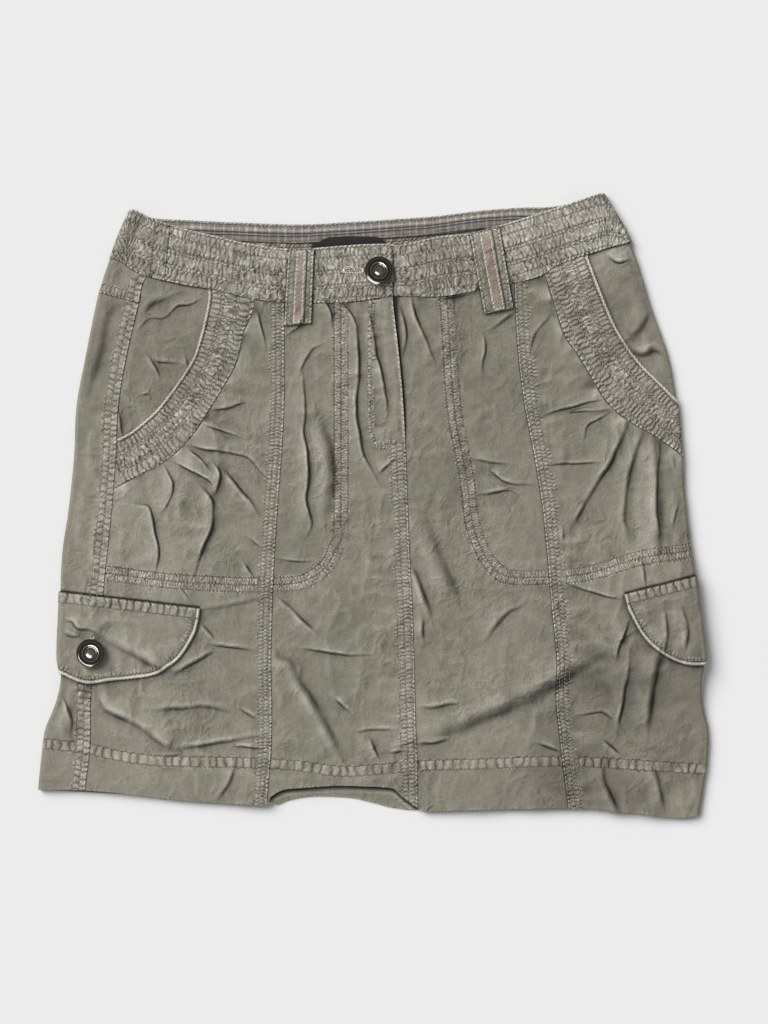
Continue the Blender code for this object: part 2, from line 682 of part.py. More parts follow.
def build_left_pocket(lattice, collection):
    """Side panel, ruched band and pocket bag at the left."""
    marks = lattice.marks
    top, bottom = lattice.panel_row, lattice.last_row
    side, princess = marks["side_l"] + 1, marks["princess_l"]

    def border(path, shift):
        found = crop(shifted(rounded(path), shift), lattice, side, 1000, 0)
        return clip_top(found, top)

    edge = border(BAND_L, -SEAM)
    down = [(float(side), float(j)) for j in range(top, bottom) if j > edge[-1][1] + 0.02]
    start = [(float(i), float(top)) for i in range(princess, side, -1) if i > edge[0][0] + 0.02]
    outline = (start + edge + down + along_row(bottom, side, princess)
               + along_column(princess, bottom - 1, top + 1))
    cut_piece("side_panel_left", lattice, outline, hem_level(lattice), "cloth", collection)

    inner = border(MOUTH_L, 0.0)
    outer = border(BAND_L, SEAM)
    across = [(float(i), float(top)) for i in range(side, princess)
              if inner[0][0] + 0.02 < i < outer[0][0] - 0.02]
    rows = [(float(side), float(j)) for j in reversed(range(top, bottom))
            if inner[-1][1] + 0.02 < j < outer[-1][1] - 0.02]
    cut_piece("pocket_band_left", lattice, across + outer + rows + inner[::-1], BAND, "cloth",
              collection)

    seam_line = border(BAG_L, 0.0)
    across = [(float(i), float(top)) for i in range(side, marks["centre"]) if i < seam_line[0][0]]
    rows = [(float(side), float(j)) for j in reversed(range(top + 1, bottom))
            if j < seam_line[-1][1] - 0.02]
    cut_piece("pocket_bag_left", lattice, across + seam_line + rows, BAG, "cloth", collection)


def clip_top(found, row):
    """Ends a path that starts above a row exactly on the row."""
    kept = []
    for p, q in zip(found, found[1:]):
        if p[1] < row <= q[1]:
            t = (row - p[1]) / (q[1] - p[1])
            kept.append((p[0] + (q[0] - p[0]) * t, float(row)))
        if q[1] > row + 0.02:
            kept.append(q)
    return kept


def build_right_pocket(lattice, collection):
    """Side panel, ruched band and pocket bag at the right, round the edge to the side seam."""
    marks = lattice.marks
    top, bottom = lattice.panel_row, lattice.last_row
    princess, side = marks["princess_r"] + 1, marks["end"]

    def border(path, shift):
        found = crop(shifted(rounded(path), shift), lattice, 0, side, 0)
        return clip_top(found, top)

    edge = border(BAND_R, SEAM)
    down = [(float(side), float(j)) for j in range(top, bottom) if j > edge[-1][1] + 0.02]
    start = [(float(i), float(top)) for i in range(princess, side) if i < edge[0][0] - 0.02]
    outline = (start + edge + down + along_row(bottom, side, princess)
               + along_column(princess, bottom - 1, top + 1))
    cut_piece("side_panel_right", lattice, outline, hem_level(lattice), "cloth", collection)

    inner = border(MOUTH_R, 0.0)
    outer = border(BAND_R, -SEAM)
    across = [(float(i), float(top)) for i in reversed(range(princess, side))
              if outer[0][0] + 0.02 < i < inner[0][0] - 0.02]
    rows = [(float(side), float(j)) for j in reversed(range(top, bottom))
            if inner[-1][1] + 0.02 < j < outer[-1][1] - 0.02]
    cut_piece("pocket_band_right", lattice, across + outer + rows + inner[::-1], BAND, "cloth",
              collection)

    seam_line = border(BAG_R, 0.0)
    across = [(float(i), float(top)) for i in reversed(range(marks["centre"], side + 1))
              if i > seam_line[0][0]]
    rows = [(float(side), float(j)) for j in reversed(range(top + 1, bottom))
            if j < seam_line[-1][1] - 0.02]
    cut_piece("pocket_bag_right", lattice, across + seam_line + rows, BAG, "cloth", collection)


def build_waistband_front(lattice, collection):
    """The left half ends at the fly; the right half runs on under it as the underlap."""
    marks = lattice.marks
    low = lattice.waist_row
    a, b = marks["side_l"] + 1, marks["centre"]
    outline = (along_row(0, a, b) + along_column(b, 1, low) + along_row(low, b - 1, a)
               + along_column(a, low - 1, 1))
    cut_piece("waistband_front_left", lattice, outline, WAISTBAND, "cloth", collection)

    def share(a):
        """0 under the left half, 1 beside it."""
        s = float(np.interp(a, range(lattice.s.shape[0]), lattice.s[:, 1]))
        centre = lattice.s[marks["centre"] + 1, 1]
        return min(max((s - centre) / UNDERLAP_RAMP, 0.0), 1.0)

    def outer(a, b):
        return UNDERLAP.outer + (WAISTBAND.outer - UNDERLAP.outer) * share(a)

    def inner(a, b):
        return UNDERLAP.inner + (WAISTBAND.inner - UNDERLAP.inner) * share(a)

    def place(distance, row):
        s = lattice.s[marks["centre"] + 1, row] + distance
        return (float(np.interp(s, lattice.s[:, row], range(lattice.s.shape[0]))), float(row))

    first = marks["centre"] + 2
    end = marks["end"]
    ramp_top = [place(-UNDERLAP_LENGTH, 0), place(0, 0), place(UNDERLAP_RAMP, 0)]
    ramp_low = [place(UNDERLAP_RAMP, low), place(0, low), place(-UNDERLAP_LENGTH, low)]
    outline = (ramp_top + along_row(0, first, end) + along_column(end, 1, low)
               + along_row(low, end - 1, first) + ramp_low)
    cut_piece("waistband_front_right", lattice, outline, Level(outer, inner), "cloth",
              collection)


def build_fly(lattice, collection):
    """The zip behind the fly's edge, and the shield behind the zip."""
    edge = seam("centre")

    def strip(name, left, right, bottom, level, slot):
        heights = np.linspace(FLY_TOP, bottom, FLY_POINTS)
        down = [(edge(y) + right, y) for y in heights]
        up = [(edge(y) + left, y) for y in reversed(heights)]
        cut_piece(name, lattice, ring(down + up, lattice), level, slot, collection)

    strip("zip", FLY_LEFT, ZIP_RIGHT, FLY_BOTTOM, ZIP, "zip")
    strip("fly_underlap", FLY_LEFT, FLY_RIGHT, FLY_SHIELD_BOTTOM, FLY_SHIELD, "cloth")


def build_loops(lattice, collection):
    def mix(p, q, t):
        return (p[0] + (q[0] - p[0]) * t, p[1] + (q[1] - p[1]) * t)

    for side, (tl, tr, br, bl) in {"left": LOOP_L, "right": LOOP_R}.items():
        corners = ring([tl, tr, br, bl], lattice)
        cut_piece(f"belt_loop_{side}", lattice, corners, LOOP, "cloth", collection)
        tape = [mix(tl, tr, TAPE_MARGIN), mix(tr, tl, TAPE_MARGIN),
                mix(br, bl, TAPE_MARGIN), mix(bl, br, TAPE_MARGIN)]
        cut_piece(f"loop_tape_{side}", lattice, ring(tape, lattice), TAPE, "tape", collection)


def build_flaps(lattice, collection):
    for name, flap in FLAPS.items():
        tilt = math.radians(flap.tilt)
        across = (flap.side * math.cos(tilt), flap.side * math.sin(tilt))
        down = (math.sin(tilt), -math.cos(tilt))
        near = [(d, depth) for d, depth in flap.near]
        far = [(FLAP_WIDTH - d, depth) for d, depth in reversed(flap.far)]
        profile = near + far[1:]
        points = [(flap.corner_x + across[0] * d + down[0] * depth,
                   flap.corner_y + across[1] * d + down[1] * depth) for d, depth in profile]
        cut_piece(name, lattice, ring(points, lattice), FLAP, "cloth", collection)


def build_button(name, centre, seat, facing_down, collection):
    """A turned button, sitting on its cloth or hanging under it."""
    x, y = centre
    mesh = bpy.data.meshes.new(name)
    profile = [(r * BUTTON_RADIUS * MM, 0.0, h * BUTTON_RADIUS * MM) for r, h in BUTTON_PROFILE]
    profile.reverse()
    mesh.from_pydata(profile, [(n, n + 1) for n in range(len(profile) - 1)], [])
    thing = add_object(name, mesh, "metal", collection)
    screw = thing.modifiers.new("turn", "SCREW")
    screw.steps = BUTTON_STEPS
    screw.render_steps = BUTTON_STEPS
    screw.use_merge_vertices = True
    screw.merge_threshold = 0.00005
    thing.location = (x * MM, y * MM, seat * MM)
    if facing_down:
        thing.rotation_euler = (math.pi, 0.0, 0.0)
    return thing


def build_buttons(lattice, collection):
    def highest(centre, level):
        x, y = centre
        places = [(x + r * BUTTON_RADIUS * math.cos(t), y + r * BUTTON_RADIUS * math.sin(t))
                  for r in (0.0, 0.5, 1.0) for t in np.linspace(0, 2 * math.pi, 12)]
        return max(lattice.at(*lattice.find(*p), level.outer)[2] for p in places)

    waist_seat = highest(WAIST_BUTTON, WAISTBAND) + GAP
    build_button("waist_button", WAIST_BUTTON, waist_seat, False, collection)
    flap_seat = highest(FLAP_BUTTON_LEFT, FLAP) + GAP
    build_button("flap_button_left", FLAP_BUTTON_LEFT, flap_seat, False, collection)
    thickness = max(h for _, h in BUTTON_PROFILE) * BUTTON_RADIUS
    build_button("flap_button_right", FLAP_BUTTON_RIGHT, thickness, True, collection)


def main():
    for thing in list(bpy.data.objects):
        bpy.data.objects.remove(thing, do_unlink=True)
    collection = bpy.data.collections.new("chino_skirt")
    bpy.context.scene.collection.children.link(collection)
    lattice = Lattice()
    build_back(lattice, collection)
    build_facing_and_labels(lattice, collection)
    build_front(lattice, collection)
    build_left_pocket(lattice, collection)
    build_right_pocket(lattice, collection)
    build_waistband_front(lattice, collection)
    build_fly(lattice, collection)
    build_loops(lattice, collection)
    build_flaps(lattice, collection)
    build_buttons(lattice, collection)


main()
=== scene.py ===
"""Looks for the cargo-style chino mini skirt, laid flat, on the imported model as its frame.

Sizes are in millimetres until a mesh is made.  The skirt is a tube of cloth pressed flat: a
point on it is (s, y), with s along the cloth across the skirt, equal to x on the front, and
y towards the waist.  "Left" is the side at -X.
"""
import math
from collections import namedtuple

import bpy
import numpy as np
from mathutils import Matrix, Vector, kdtree
from mathutils.geometry import delaunay_2d_cdt


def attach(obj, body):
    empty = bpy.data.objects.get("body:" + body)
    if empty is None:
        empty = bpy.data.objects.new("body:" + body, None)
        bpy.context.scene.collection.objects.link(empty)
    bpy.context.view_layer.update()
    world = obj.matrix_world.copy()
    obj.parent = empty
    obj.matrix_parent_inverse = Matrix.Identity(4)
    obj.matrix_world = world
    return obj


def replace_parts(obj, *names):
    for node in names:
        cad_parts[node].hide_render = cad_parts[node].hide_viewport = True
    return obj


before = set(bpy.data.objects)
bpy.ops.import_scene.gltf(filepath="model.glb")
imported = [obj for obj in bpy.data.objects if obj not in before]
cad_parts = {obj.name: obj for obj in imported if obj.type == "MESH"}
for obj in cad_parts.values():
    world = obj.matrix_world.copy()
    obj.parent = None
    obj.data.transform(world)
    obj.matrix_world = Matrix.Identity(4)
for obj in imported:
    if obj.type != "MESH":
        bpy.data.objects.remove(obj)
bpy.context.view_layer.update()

MM = 0.001

# ---------------------------------------------------------------- the skirt's own sizes
EDGE_RADIUS = 3.0                   # of the turn at each side edge
TURN = math.pi * EDGE_RADIUS        # the cloth that a turn takes up
RIGHT_WRAP = 26.0                   # how far the right side panel goes on underneath
GAP = 0.15                          # from a seam to each piece beside it

# Where the side edges and the seams lie, as x at heights from the waist to the hem.
Section = namedtuple("Section", "y left side_l princess_l centre princess_r right")
SECTIONS = (
    Section(262, -184, -157, -72, 15.5, 113, 176),
    Section(250, -188, -158, -72, 15.5, 113, 184),
    Section(240, -193, -160, -72, 15.5, 113, 190),
    Section(220, -202.5, -163, -72, 15.5, 113, 202),
    Section(200, -210, -166, -72, 15.5, 113, 210.5),
    Section(180, -217, -183, -72, 15.5, 113, 217),
    Section(160, -222.5, -188, -71.5, 16, 113.5, 223),
    Section(120, -230.5, -197.5, -71.5, 20.5, 116, 237),
    Section(80, -238, -204, -71.5, 24, 121, 244),
    Section(40, -240, -206, -73.5, 26, 128.5, 247.5),
    Section(0, -244, -209, -76.5, 27.5, 135, 250),
    Section(-40, -249.5, -213, -79, 29, 139, 255),
    Section(-80, -251, -217, -81, 31, 142.5, 260),
    Section(-120, -252.5, -222, -82, 32.5, 146.5, 265),
    Section(-140, -250.5, -225, -82, 33, 146.5, 262.5),
    Section(-160, -255, -226.5, -81.5, 33.5, 146.5, 263.5),
    Section(-180, -263, -226.5, -81.5, 34, 148.5, 268),
    Section(-200, -266, -227.5, -82, 35, 150.5, 268),
    Section(-230, -269, -231, -84.5, 35.5, 154.5, 264),
    Section(-250, -269, -232, -85.5, 35.5, 157, 261),
    Section(-262, -269, -232, -86, 35.5, 158, 260),
)
# Lines across the skirt, as (x, y).
TOP_FRONT = ((-200, 239), (-194, 237), (-187, 234), (-175, 228), (-151, 220.5), (-127, 215),
             (-107, 210), (-83, 205.5), (-59, 204), (-19, 207), (12, 208), (19, 207), (29, 208.5),
             (53, 214), (77, 216.5), (101, 223), (133, 233), (165, 243.5), (184, 250), (190, 252))
WAIST_FRONT = ((-220, 200), (-211.5, 197), (-203, 195), (-187, 184.5), (-155, 176.5),
               (-131, 172.5), (-99, 165), (-75, 162), (-23, 161.5), (15, 166), (53, 166),
               (85, 171.5), (129, 181), (149, 192), (181, 203), (206, 210), (215, 213))
HEM_FRONT = ((-275, -228.5), (-269, -228.5), (-232, -229), (-193, -232.5), (-155, -237),
             (-126, -239), (-88, -241), (-82, -234), (-72, -228.5), (-59, -227), (-27, -225),
             (5, -226), (16, -227.5), (22, -233), (31, -240), (38, -245), (47, -246),
             (85, -244.5), (172, -243.5), (191, -246.5), (210, -247), (229, -250), (248, -251),
             (261, -248.5), (268, -247))
TOP_BACK = ((-200, 239), (-194, 237), (-179, 230), (-139, 227.5), (-107, 226), (-59, 224.5),
            (-27, 226), (21, 229), (53, 231.5), (85, 235.5), (117, 238), (149, 239.5),
            (184, 250), (190, 252))
WAIST_BACK = ((-220, 199), (-211.5, 197), (-139, 186), (-59, 181), (21, 184), (117, 194),
              (206, 210), (215, 212))
YOKE_BACK = ((-228, 172), (-221, 170), (-150, 152), (-60, 132), (30, 130), (130, 152), (223, 182))
HEM_BACK = ((-275, -228.5), (-269, -228.5), (-155, -235), (-88, -238), (-78, -240.5),
            (-68, -237), (-49, -234), (-20, -235), (-1, -239), (18, -243.5), (47, -244.5),
            (172, -242), (248, -248), (261, -248.5), (268, -248))
HEM_ROWS = ((-275, -186), (-260, -187), (-227, -191), (-203, -196.5), (-171, -200.5), (-99, -202),
            (-59, -204.5), (-27, -208.5), (5, -207), (36, -204.5), (85, -203), (141, -201),
            (181, -202), (229, -205), (267, -207), (320, -208))

# How far the front sags between the side edges and the lowest it may lie, both as (y, height);
# its broad rises; and what lifts the back off the surface, each full within its reach.
SAG = ((-190, 0.6), (-164, 2.3), (-85, 2.3), (-60, 1.4), (150, 1.4), (190, 0.4))
LOWEST = ((-186, 5.4), (-164, 3.4), (-85, 3.4), (-52, 4.4), (250, 4.4))
EDGE_REACH = 45.0
Rise = namedtuple("Rise", "x y reach_x reach_y height")
RISES = (
    Rise(-10, 205, 110, 46, 4.9),
    Rise(95, 222, 90, 30, 2.6),
    Rise(-110, 216, 70, 24, 1.8),
    Rise(-28, -236, 52, 22, 1.6),
    Rise(24, 104, 60, 110, 2.3),
)
Lift = namedtuple("Lift", "x y reach_x reach_y fade height")
LIFTS = (
    Lift(0, 222, 260, 52, 14, 0.8),
    Lift(-222, -106, 62, 62, 30, 1.5),
    Lift(206, -80, 100, 74, 30, 1.5),
    Lift(239, -98, 30, 30, 46, 5.7),
    Lift(238, 48, 40, 62, 20, 0.5),
)

# Each pocket: its mouth, the far edge of the band round it, and the line its bag is sewn along.
MOUTH_L = ((-131, 190), (-132, 174), (-133, 160), (-139.5, 132), (-148, 111), (-171, 79),
           (-187, 64), (-198, 56), (-214, 48))
BAND_L = ((-92, 182), (-94, 168), (-97, 154), (-104, 138), (-109, 116), (-119, 96), (-139, 64),
          (-155, 45), (-171, 32), (-187, 23.5), (-214, 10))
MOUTH_R = ((164, 220), (169, 206), (178, 181), (186, 161), (195, 141), (205, 125), (217, 110),
           (232, 95), (246, 81), (268, 60), (290, 40))
BAND_R = ((131, 208), (135, 192), (143, 166), (153, 136), (165, 118), (183, 88), (193, 76),
          (209, 64), (225, 55), (241, 44), (256, 32), (290, 6))
BAG_L = ((-26, 182), (-26, 168), (-26, -12), (-29, -32), (-38, -50), (-54, -61), (-71, -64),
         (-107, -64.5), (-139, -63), (-171, -60.5), (-222, -54))
BAG_R = ((56, 190), (58, 176), (60, 148), (64, 84), (69, 52), (75, 20), (79, -12), (86, -34),
         (96, -50), (109, -58), (140, -58), (173, -55), (213, -43), (253, -37), (296, -28))
FLY_STITCH = ((-4, 166), (-4.5, 130), (-4.5, 70), (-3, 56), (3, 45), (10, 44), (17, 49))

# Where the waistband's front left section is sewn to the back one.
BAND_SEAM = ((-162, 262), (-162.5, 224), (-164.4, 203.6), (-166.8, 179.6), (-168, 150))

# Corners of the belt loops, and how far in their tapes lie, as a share of their width.
LOOP_L = ((-67.5, 202.5), (-47.5, 203.2), (-50, 145), (-71.5, 143))
LOOP_R = ((77, 215), (100.5, 221), (112, 157), (89, 152.5))
TAPE_MARGIN = 0.27

# The flaps: the corner of the top edge, its tilt in degrees, the side it runs to, and how deep
# the outline is at distances from that corner and from the far one.
FLAP_WIDTH = 174.0
Flap = namedtuple("Flap", "corner_x corner_y tilt side near far")
DEPTHS_LEFT_NEAR = ((0, 9), (2, 21), (10, 39), (19, 49), (32, 58), (64, 66), (87, 70))
DEPTHS_LEFT_FAR = ((0, 8), (5, 24), (15, 38), (30, 48), (50, 57), (87, 70))
DEPTHS_RIGHT = ((0, 13), (6, 36), (16, 52), (31, 65), (50, 71), (87, 74))
FLAPS = {
    "flap_left": Flap(-138.8, -83.2, -6.8, -1, DEPTHS_LEFT_NEAR, DEPTHS_LEFT_FAR),
    "flap_right": Flap(200.4, -71.6, 14.3, 1, DEPTHS_RIGHT, DEPTHS_RIGHT),
}
UNDERLAP_LENGTH = 26.0
UNDERLAP_RAMP = 5.0
FLY_TOP = 160.0
FLY_BOTTOM = 50.0
WAIST_BUTTON = (4.4, 186.4)
FLAP_BUTTON_LEFT = (-226.0, -118.8)
FLAP_BUTTON_RIGHT = (236.0, -98.0)
BUTTON_RADIUS = 11.2
BUTTONHOLE, BUTTONHOLE_LENGTH, BUTTONHOLE_WIDTH = (-16.0, 186.6), 17.0, 5.6
LOOSE_THREADS = {
    "waistband_front_left": ((-21.5, 189.6), (-18.5, 189.4), (-16, 188.2), (-14.2, 186)),
    "flap_left": ((-226, -106.5), (-225, -109), (-223, -105.5)),
}

# Broad tone: lighter where the cloth is more washed out, darker where it is less, and
# painted light and shade where broad folds turn towards or away from the light.
Fade = namedtuple("Fade", "x y reach_x reach_y amount")
FADES_AND_PAINTED_LIGHT = (
    Fade(150, 215, 76, 36, 0.44),
    Fade(-90, 195, 110, 34, 0.14),
    Fade(-190, -40, 60, 170, 0.10),
    Fade(-150, -222, 110, 30, 0.02),
    Fade(110, -228, 170, 26, -0.15),
    Fade(200, -170, 90, 90, -0.32),
    Fade(110, 60, 110, 170, -0.08),
    Fade(208, 165, 34, 50, -0.12),
    Fade(-166, 126, 30, 66, -0.22),
    Fade(215, 60, 60, 90, -0.06),
    Fade(-238, 120, 24, 110, -0.20),
    Fade(217, 5, 14, 64, 0.14),
    Fade(241, 0, 20, 64, -0.22),
    Fade(252, -100, 26, 40, -0.16),
)

# The creases: height of the ridge, width of its back, width of its steep lee side, and the
# line that the lee side follows.  Two scales sharpen them all.
CREASE_SCALE = 1.15
LEE_SCALE = 0.95
AWAY_FROM_LIGHT = (0.75, -0.66)     # across the skirt and up it
CREASES = (
    # on the left front
    (2.3, 10, 1.6, ((-56, 106), (-55, 76), (-56, 58), (-52, 36), (-52, 16), (-54, 1),
                    (-49, -14), (-53, -24))),
    (1.2, 6, 1.8, ((-59, 106), (-56, 114), (-49, 124), (-41, 128))),
    (2.0, 7, 1.8, ((-13, 151), (-12, 128), (-12, 96), (-14, 80), (-11, 58), (-8, 40), (2, 21))),
    (2.0, 5, 1.6, ((-3, 150), (0, 136), (2, 120), (7, 106), (10, 88), (11, 72))),
    (1.4, 6, 1.8, ((5, 26), (16, 36))),
    (2.0, 5, 1.5, ((-39, 163), (-34, 154), (-33, 144))),
    (1.4, 7, 1.4, ((-76, -44), (-63, -46), (-48, -45))),
    (1.6, 8, 2.2, ((-75, -76), (-59, -91), (-47, -102))),
    (1.4, 8, 1.8, ((-56, -116), (-19, -120), (-4, -120))),
    (3.2, 15, 5.0, ((-81, -115), (-76, -123), (-67, -127), (-60, -144), (-51, -156),
                    (-35, -184), (-27, -200))),
    (1.2, 6, 2.0, ((-31, -156), (-19, -166))),
    (1.0, 6, 2.0, ((-13, -181), (15, -180))),
    (1.2, 5, 2.0, ((-3, -188), (4, -203))),
    (1.0, 5, 2.0, ((13, -198), (25, -196))),
    # on the left side panel and its flap
    (2.3, 9, 1.6, ((-147, 47), (-111, 40), (-99, 36), (-85, 21))),
    (2.0, 6, 1.3, ((-159, 34), (-135, 21), (-128, 15))),
    (2.5, 12, 1.6, ((-139, 16), (-129, 4), (-128, -8), (-131, -24), (-137, -36), (-144, -56))),
    (1.8, 7, 1.2, ((-168, 31), (-160, 12), (-168, -4))),
    (2.1, 10, 1.6, ((-188, 0), (-179, -3), (-175, -24), (-172, -38), (-174, -52))),
    (1.8, 5, 1.3, ((-128, 34), (-123, 24), (-127, 8))),
    (1.4, 6, 1.4, ((-134, 64), (-107, 54))),
    (1.3, 6, 1.6, ((-129, 75), (-103, 81))),
    (1.4, 6, 1.4, ((-147, 44), (-131, 28))),
    (1.4, 7, 2.0, ((-121, 28), (-103, 8), (-92, -8))),
    (1.2, 5, 1.6, ((-99, -28), (-89, -35))),
    (1.2, 5, 1.6, ((-103, -48), (-95, -59))),
    (1.6, 14, 8.0, ((-212, 164), (-220, 128), (-233, 84))),
    (3.4, 12, 3.5, ((-220, -148), (-217, -159), (-211, -166), (-187, -178), (-167, -193),
                    (-160, -196))),
    (2.0, 6, 2.0, ((-251, -150), (-246, -160), (-242, -172), (-242, -184))),
    (2.0, 8, 2.5, ((-160, -196), (-119, -190), (-87, -184))),
    (1.2, 6, 1.6, ((-116, -193), (-89, -195))),
    (1.4, 5, 1.6, ((-167, -201), (-152, -199))),
    (1.8, 9, 3.0, ((-175, -164), (-135, -162), (-115, -166))),
    (1.2, 6, 2.0, ((-107, -164), (-95, -171))),
    (1.6, 6, 1.8, ((-137, -96), (-128, -108))),
    (1.4, 7, 2.0, ((-131, -112), (-99, -116))),
    (1.6, 8, 2.4, ((-127, -116), (-151, -131), (-160, -137))),
    (1.4, 9, 3.0, ((-135, -83), (-111, -80), (-95, -76))),
    (1.2, 5, 1.6, ((-155, -67), (-149, -76))),
    (1.6, 7, 2.4, ((-111, -211), (-116, -224), (-124, -236))),
    (2.6, 13, 4.6, ((-217, -106), (-206, -113), (-190, -120), (-176, -128), (-163, -132))),
    (1.5, 6, 2.0, ((-250, -94), (-241, -93), (-236, -99), (-226, -101))),
    (1.2, 6, 2.2, ((-250, -102), (-240, -105), (-233, -104))),
    # on the right front
    (2.2, 7, 1.8, ((31, 165), (33, 152), (39, 137), (48, 117))),
    (1.3, 7, 1.8, ((88, 136), (89, 124), (87, 104))),
    (1.2, 7, 2.4, ((113, 154), (92, 138))),
    (1.0, 7, 2.4, ((53, 164), (85, 170))),
    (1.6, 7, 1.8, ((82, 36), (105, 33))),
    (1.6, 7, 1.8, ((93, 27), (109, 17), (125, 16))),
    (1.6, 7, 2.0, ((85, 8), (108, 12), (115, 8))),
    (2.2, 9, 3.0, ((31, -49), (39, -72), (47, -94))),
    (1.2, 6, 2.0, ((39, -91), (40, -108))),
    (4.4, 24, 9.0, ((37, -188), (73, -176), (113, -159), (145, -142), (161, -131), (193, -111))),
    (1.4, 8, 3.0, ((89, -108), (105, -88), (117, -82))),
    (1.2, 8, 2.4, ((37, -163), (69, -159))),
    (1.4, 7, 2.0, ((37, -192), (63, -188))),
    (1.4, 6, 2.0, ((133, -192), (149, -198))),
    # on the right side panel
    (2.4, 8, 1.6, ((183, 84), (149, 76), (137, 71))),
    (1.2, 5, 1.4, ((191, 76), (153, 73))),
    (1.4, 6, 1.6, ((191, 74), (173, 64), (169, 52))),
    (2.7, 12, 2.6, ((204, 67), (191, 37), (181, 20), (158, -18))),
    (2.4, 9, 2.8, ((216, 60), (205, 28), (201, -8), (204, -24))),
    (2.2, 12, 4.4, ((225, 56), (227, 12), (228, -32))),
    (1.4, 6, 2.0, ((229, 52), (226, 4), (229, -28))),
    (1.2, 5, 2.0, ((239, 40), (242, 28))),
    (1.4, 6, 2.0, ((245, 4), (239, -20))),
    (1.4, 7, 1.6, ((140, 32), (179, 34))),
    (1.2, 5, 1.6, ((151, -18), (152, -28))),
    (1.6, 7, 1.6, ((156, -63), (181, -72), (196, -75))),
    (2.0, 7, 1.6, ((204, -92), (197, -112), (194, -123))),
    (1.2, 6, 1.8, ((215, -44), (217, -67))),
    (2.6, 9, 2.2, ((204, -124), (201, -148), (195, -184))),
    (3.2, 10, 4.0, ((228, -120), (221, -160), (220, -180))),
    (1.4, 7, 2.0, ((162, -169), (181, -166), (192, -172))),
    (1.4, 6, 2.2, ((184, -188), (197, -200))),
    (2.4, 9, 3.5, ((184, -208), (185, -224), (195, -246))),
    (1.8, 8, 3.0, ((225, -211), (232, -243))),
    (2.4, 8, 4.0, ((265, -220), (252, -246))),
    # in the right pocket's mouth
    (3.2, 11, 4.0, ((206, 125), (215, 121), (225, 124), (238, 117))),
    (1.3, 6, 2.0, ((187, 199), (196, 193), (206, 196))),
    (3.0, 10, 3.6, ((220, 168), (221, 156), (215, 142), (206, 134))),
    # in the left pocket's mouth
    (1.5, 6, 1.6, ((-138, 165), (-147, 160), (-156, 159), (-162, 154), (-168, 150),
                   (-179, 149), (-187, 142))),
    (1.5, 9, 3.6, ((-165, 166), (-178, 160), (-186, 152))),
    (0.9, 5, 2.0, ((-183, 115), (-170, 114), (-154, 113))),
    (0.8, 4, 1.6, ((-186, 88), (-178, 89))),
    (1.3, 4, 1.2, ((-151, 118), (-149, 110))),
    (0.9, 5, 1.8, ((-182, 120), (-174, 110), (-172, 102))),
    (1.6, 6, 1.4, ((-204, 72), (-201, 54))),
    # below the waist
    (1.5, 5, 1.5, ((-24, 159), (-17, 151), (-13, 141))),
    (1.4, 6, 1.6, ((-93, 154), (-89, 140), (-86, 126))),
    (1.6, 7, 1.6, ((-56, 150), (-60, 142), (-72, 134))),
    (1.3, 6, 1.8, ((22, 156), (26, 136), (24, 118))),
    # on the right flap, by its band, and two broad falls
    (1.4, 6, 2.2, ((232, -84), (234, -102), (231, -120))),
    (1.2, 6, 2.4, ((246, -82), (250, -100), (248, -116))),
    (1.2, 6, 2.0, ((140, 150), (128, 134), (124, 118))),
    (1.8, 14, 7.0, ((-44, 70), (-34, 30), (-38, -12))),
    (2.0, 16, 8.0, ((38, -8), (50, -40), (66, -76))),
)
# Those of the back, wrinkled up off what it lies on.
BACK_CREASES = (
    (1.6, 9, 3, ((-210, -30), (-170, -52), (-120, -60))),
    (1.3, 8, 3, ((-190, 40), (-150, 10), (-128, -30))),
    (1.5, 9, 3, ((-60, 110), (-48, 60), (-54, 12))),
    (1.2, 7, 2.5, ((-20, 120), (-8, 84), (-12, 50))),
    (1.6, 10, 3, ((60, 100), (74, 50), (70, -10), (78, -50))),
    (1.4, 9, 3, ((120, 120), (150, 84), (190, 70))),
    (1.3, 8, 3, ((200, 10), (160, -12), (120, -20))),
    (1.6, 10, 3.5, ((-200, -120), (-150, -136), (-96, -124))),
    (1.5, 9, 3, ((-40, -90), (10, -112), (66, -108))),
    (1.3, 8, 3, ((110, -90), (150, -128), (206, -140))),
    (1.2, 8, 3, ((-120, -170), (-70, -160), (-20, -172))),
    (1.4, 9, 3, ((40, -160), (90, -178), (140, -170))),
    (1.8, 9, 5, ((-84, -242), (-66, -233), (-28, -229), (10, -232), (30, -243))),
)

# ---------------------------------------------------------------- noise, curves, distances
TABLE = np.random.default_rng(11).uniform(-1.0, 1.0, (256, 256))


def noise(u, v, channel):
    """Smooth value noise from -1 to 1, one feature per unit."""
    u, v = np.asarray(u, float), np.asarray(v, float)
    i, j = np.floor(u).astype(int), np.floor(v).astype(int)
    fu, fv = u - i, v - j
    fu = fu * fu * fu * (fu * (fu * 6 - 15) + 10)
    fv = fv * fv * fv * (fv * (fv * 6 - 15) + 10)
    i, j = i + 57 * channel, j + 131 * channel
    a, b = TABLE[i & 255, j & 255], TABLE[(i + 1) & 255, j & 255]
    c, d = TABLE[i & 255, (j + 1) & 255], TABLE[(i + 1) & 255, (j + 1) & 255]
    return (a + (b - a) * fu) * (1 - fv) + (c + (d - c) * fu) * fv


def smooth(t):
    """A ramp from 0 at 0 to 1 at 1, level at both ends."""
    t = np.clip(t, 0.0, 1.0)
    return t * t * (3 - 2 * t)


def bell(u, width):
    """1 at 0, and dying away over a width on both sides."""
    return np.exp(-(u / width) ** 2)


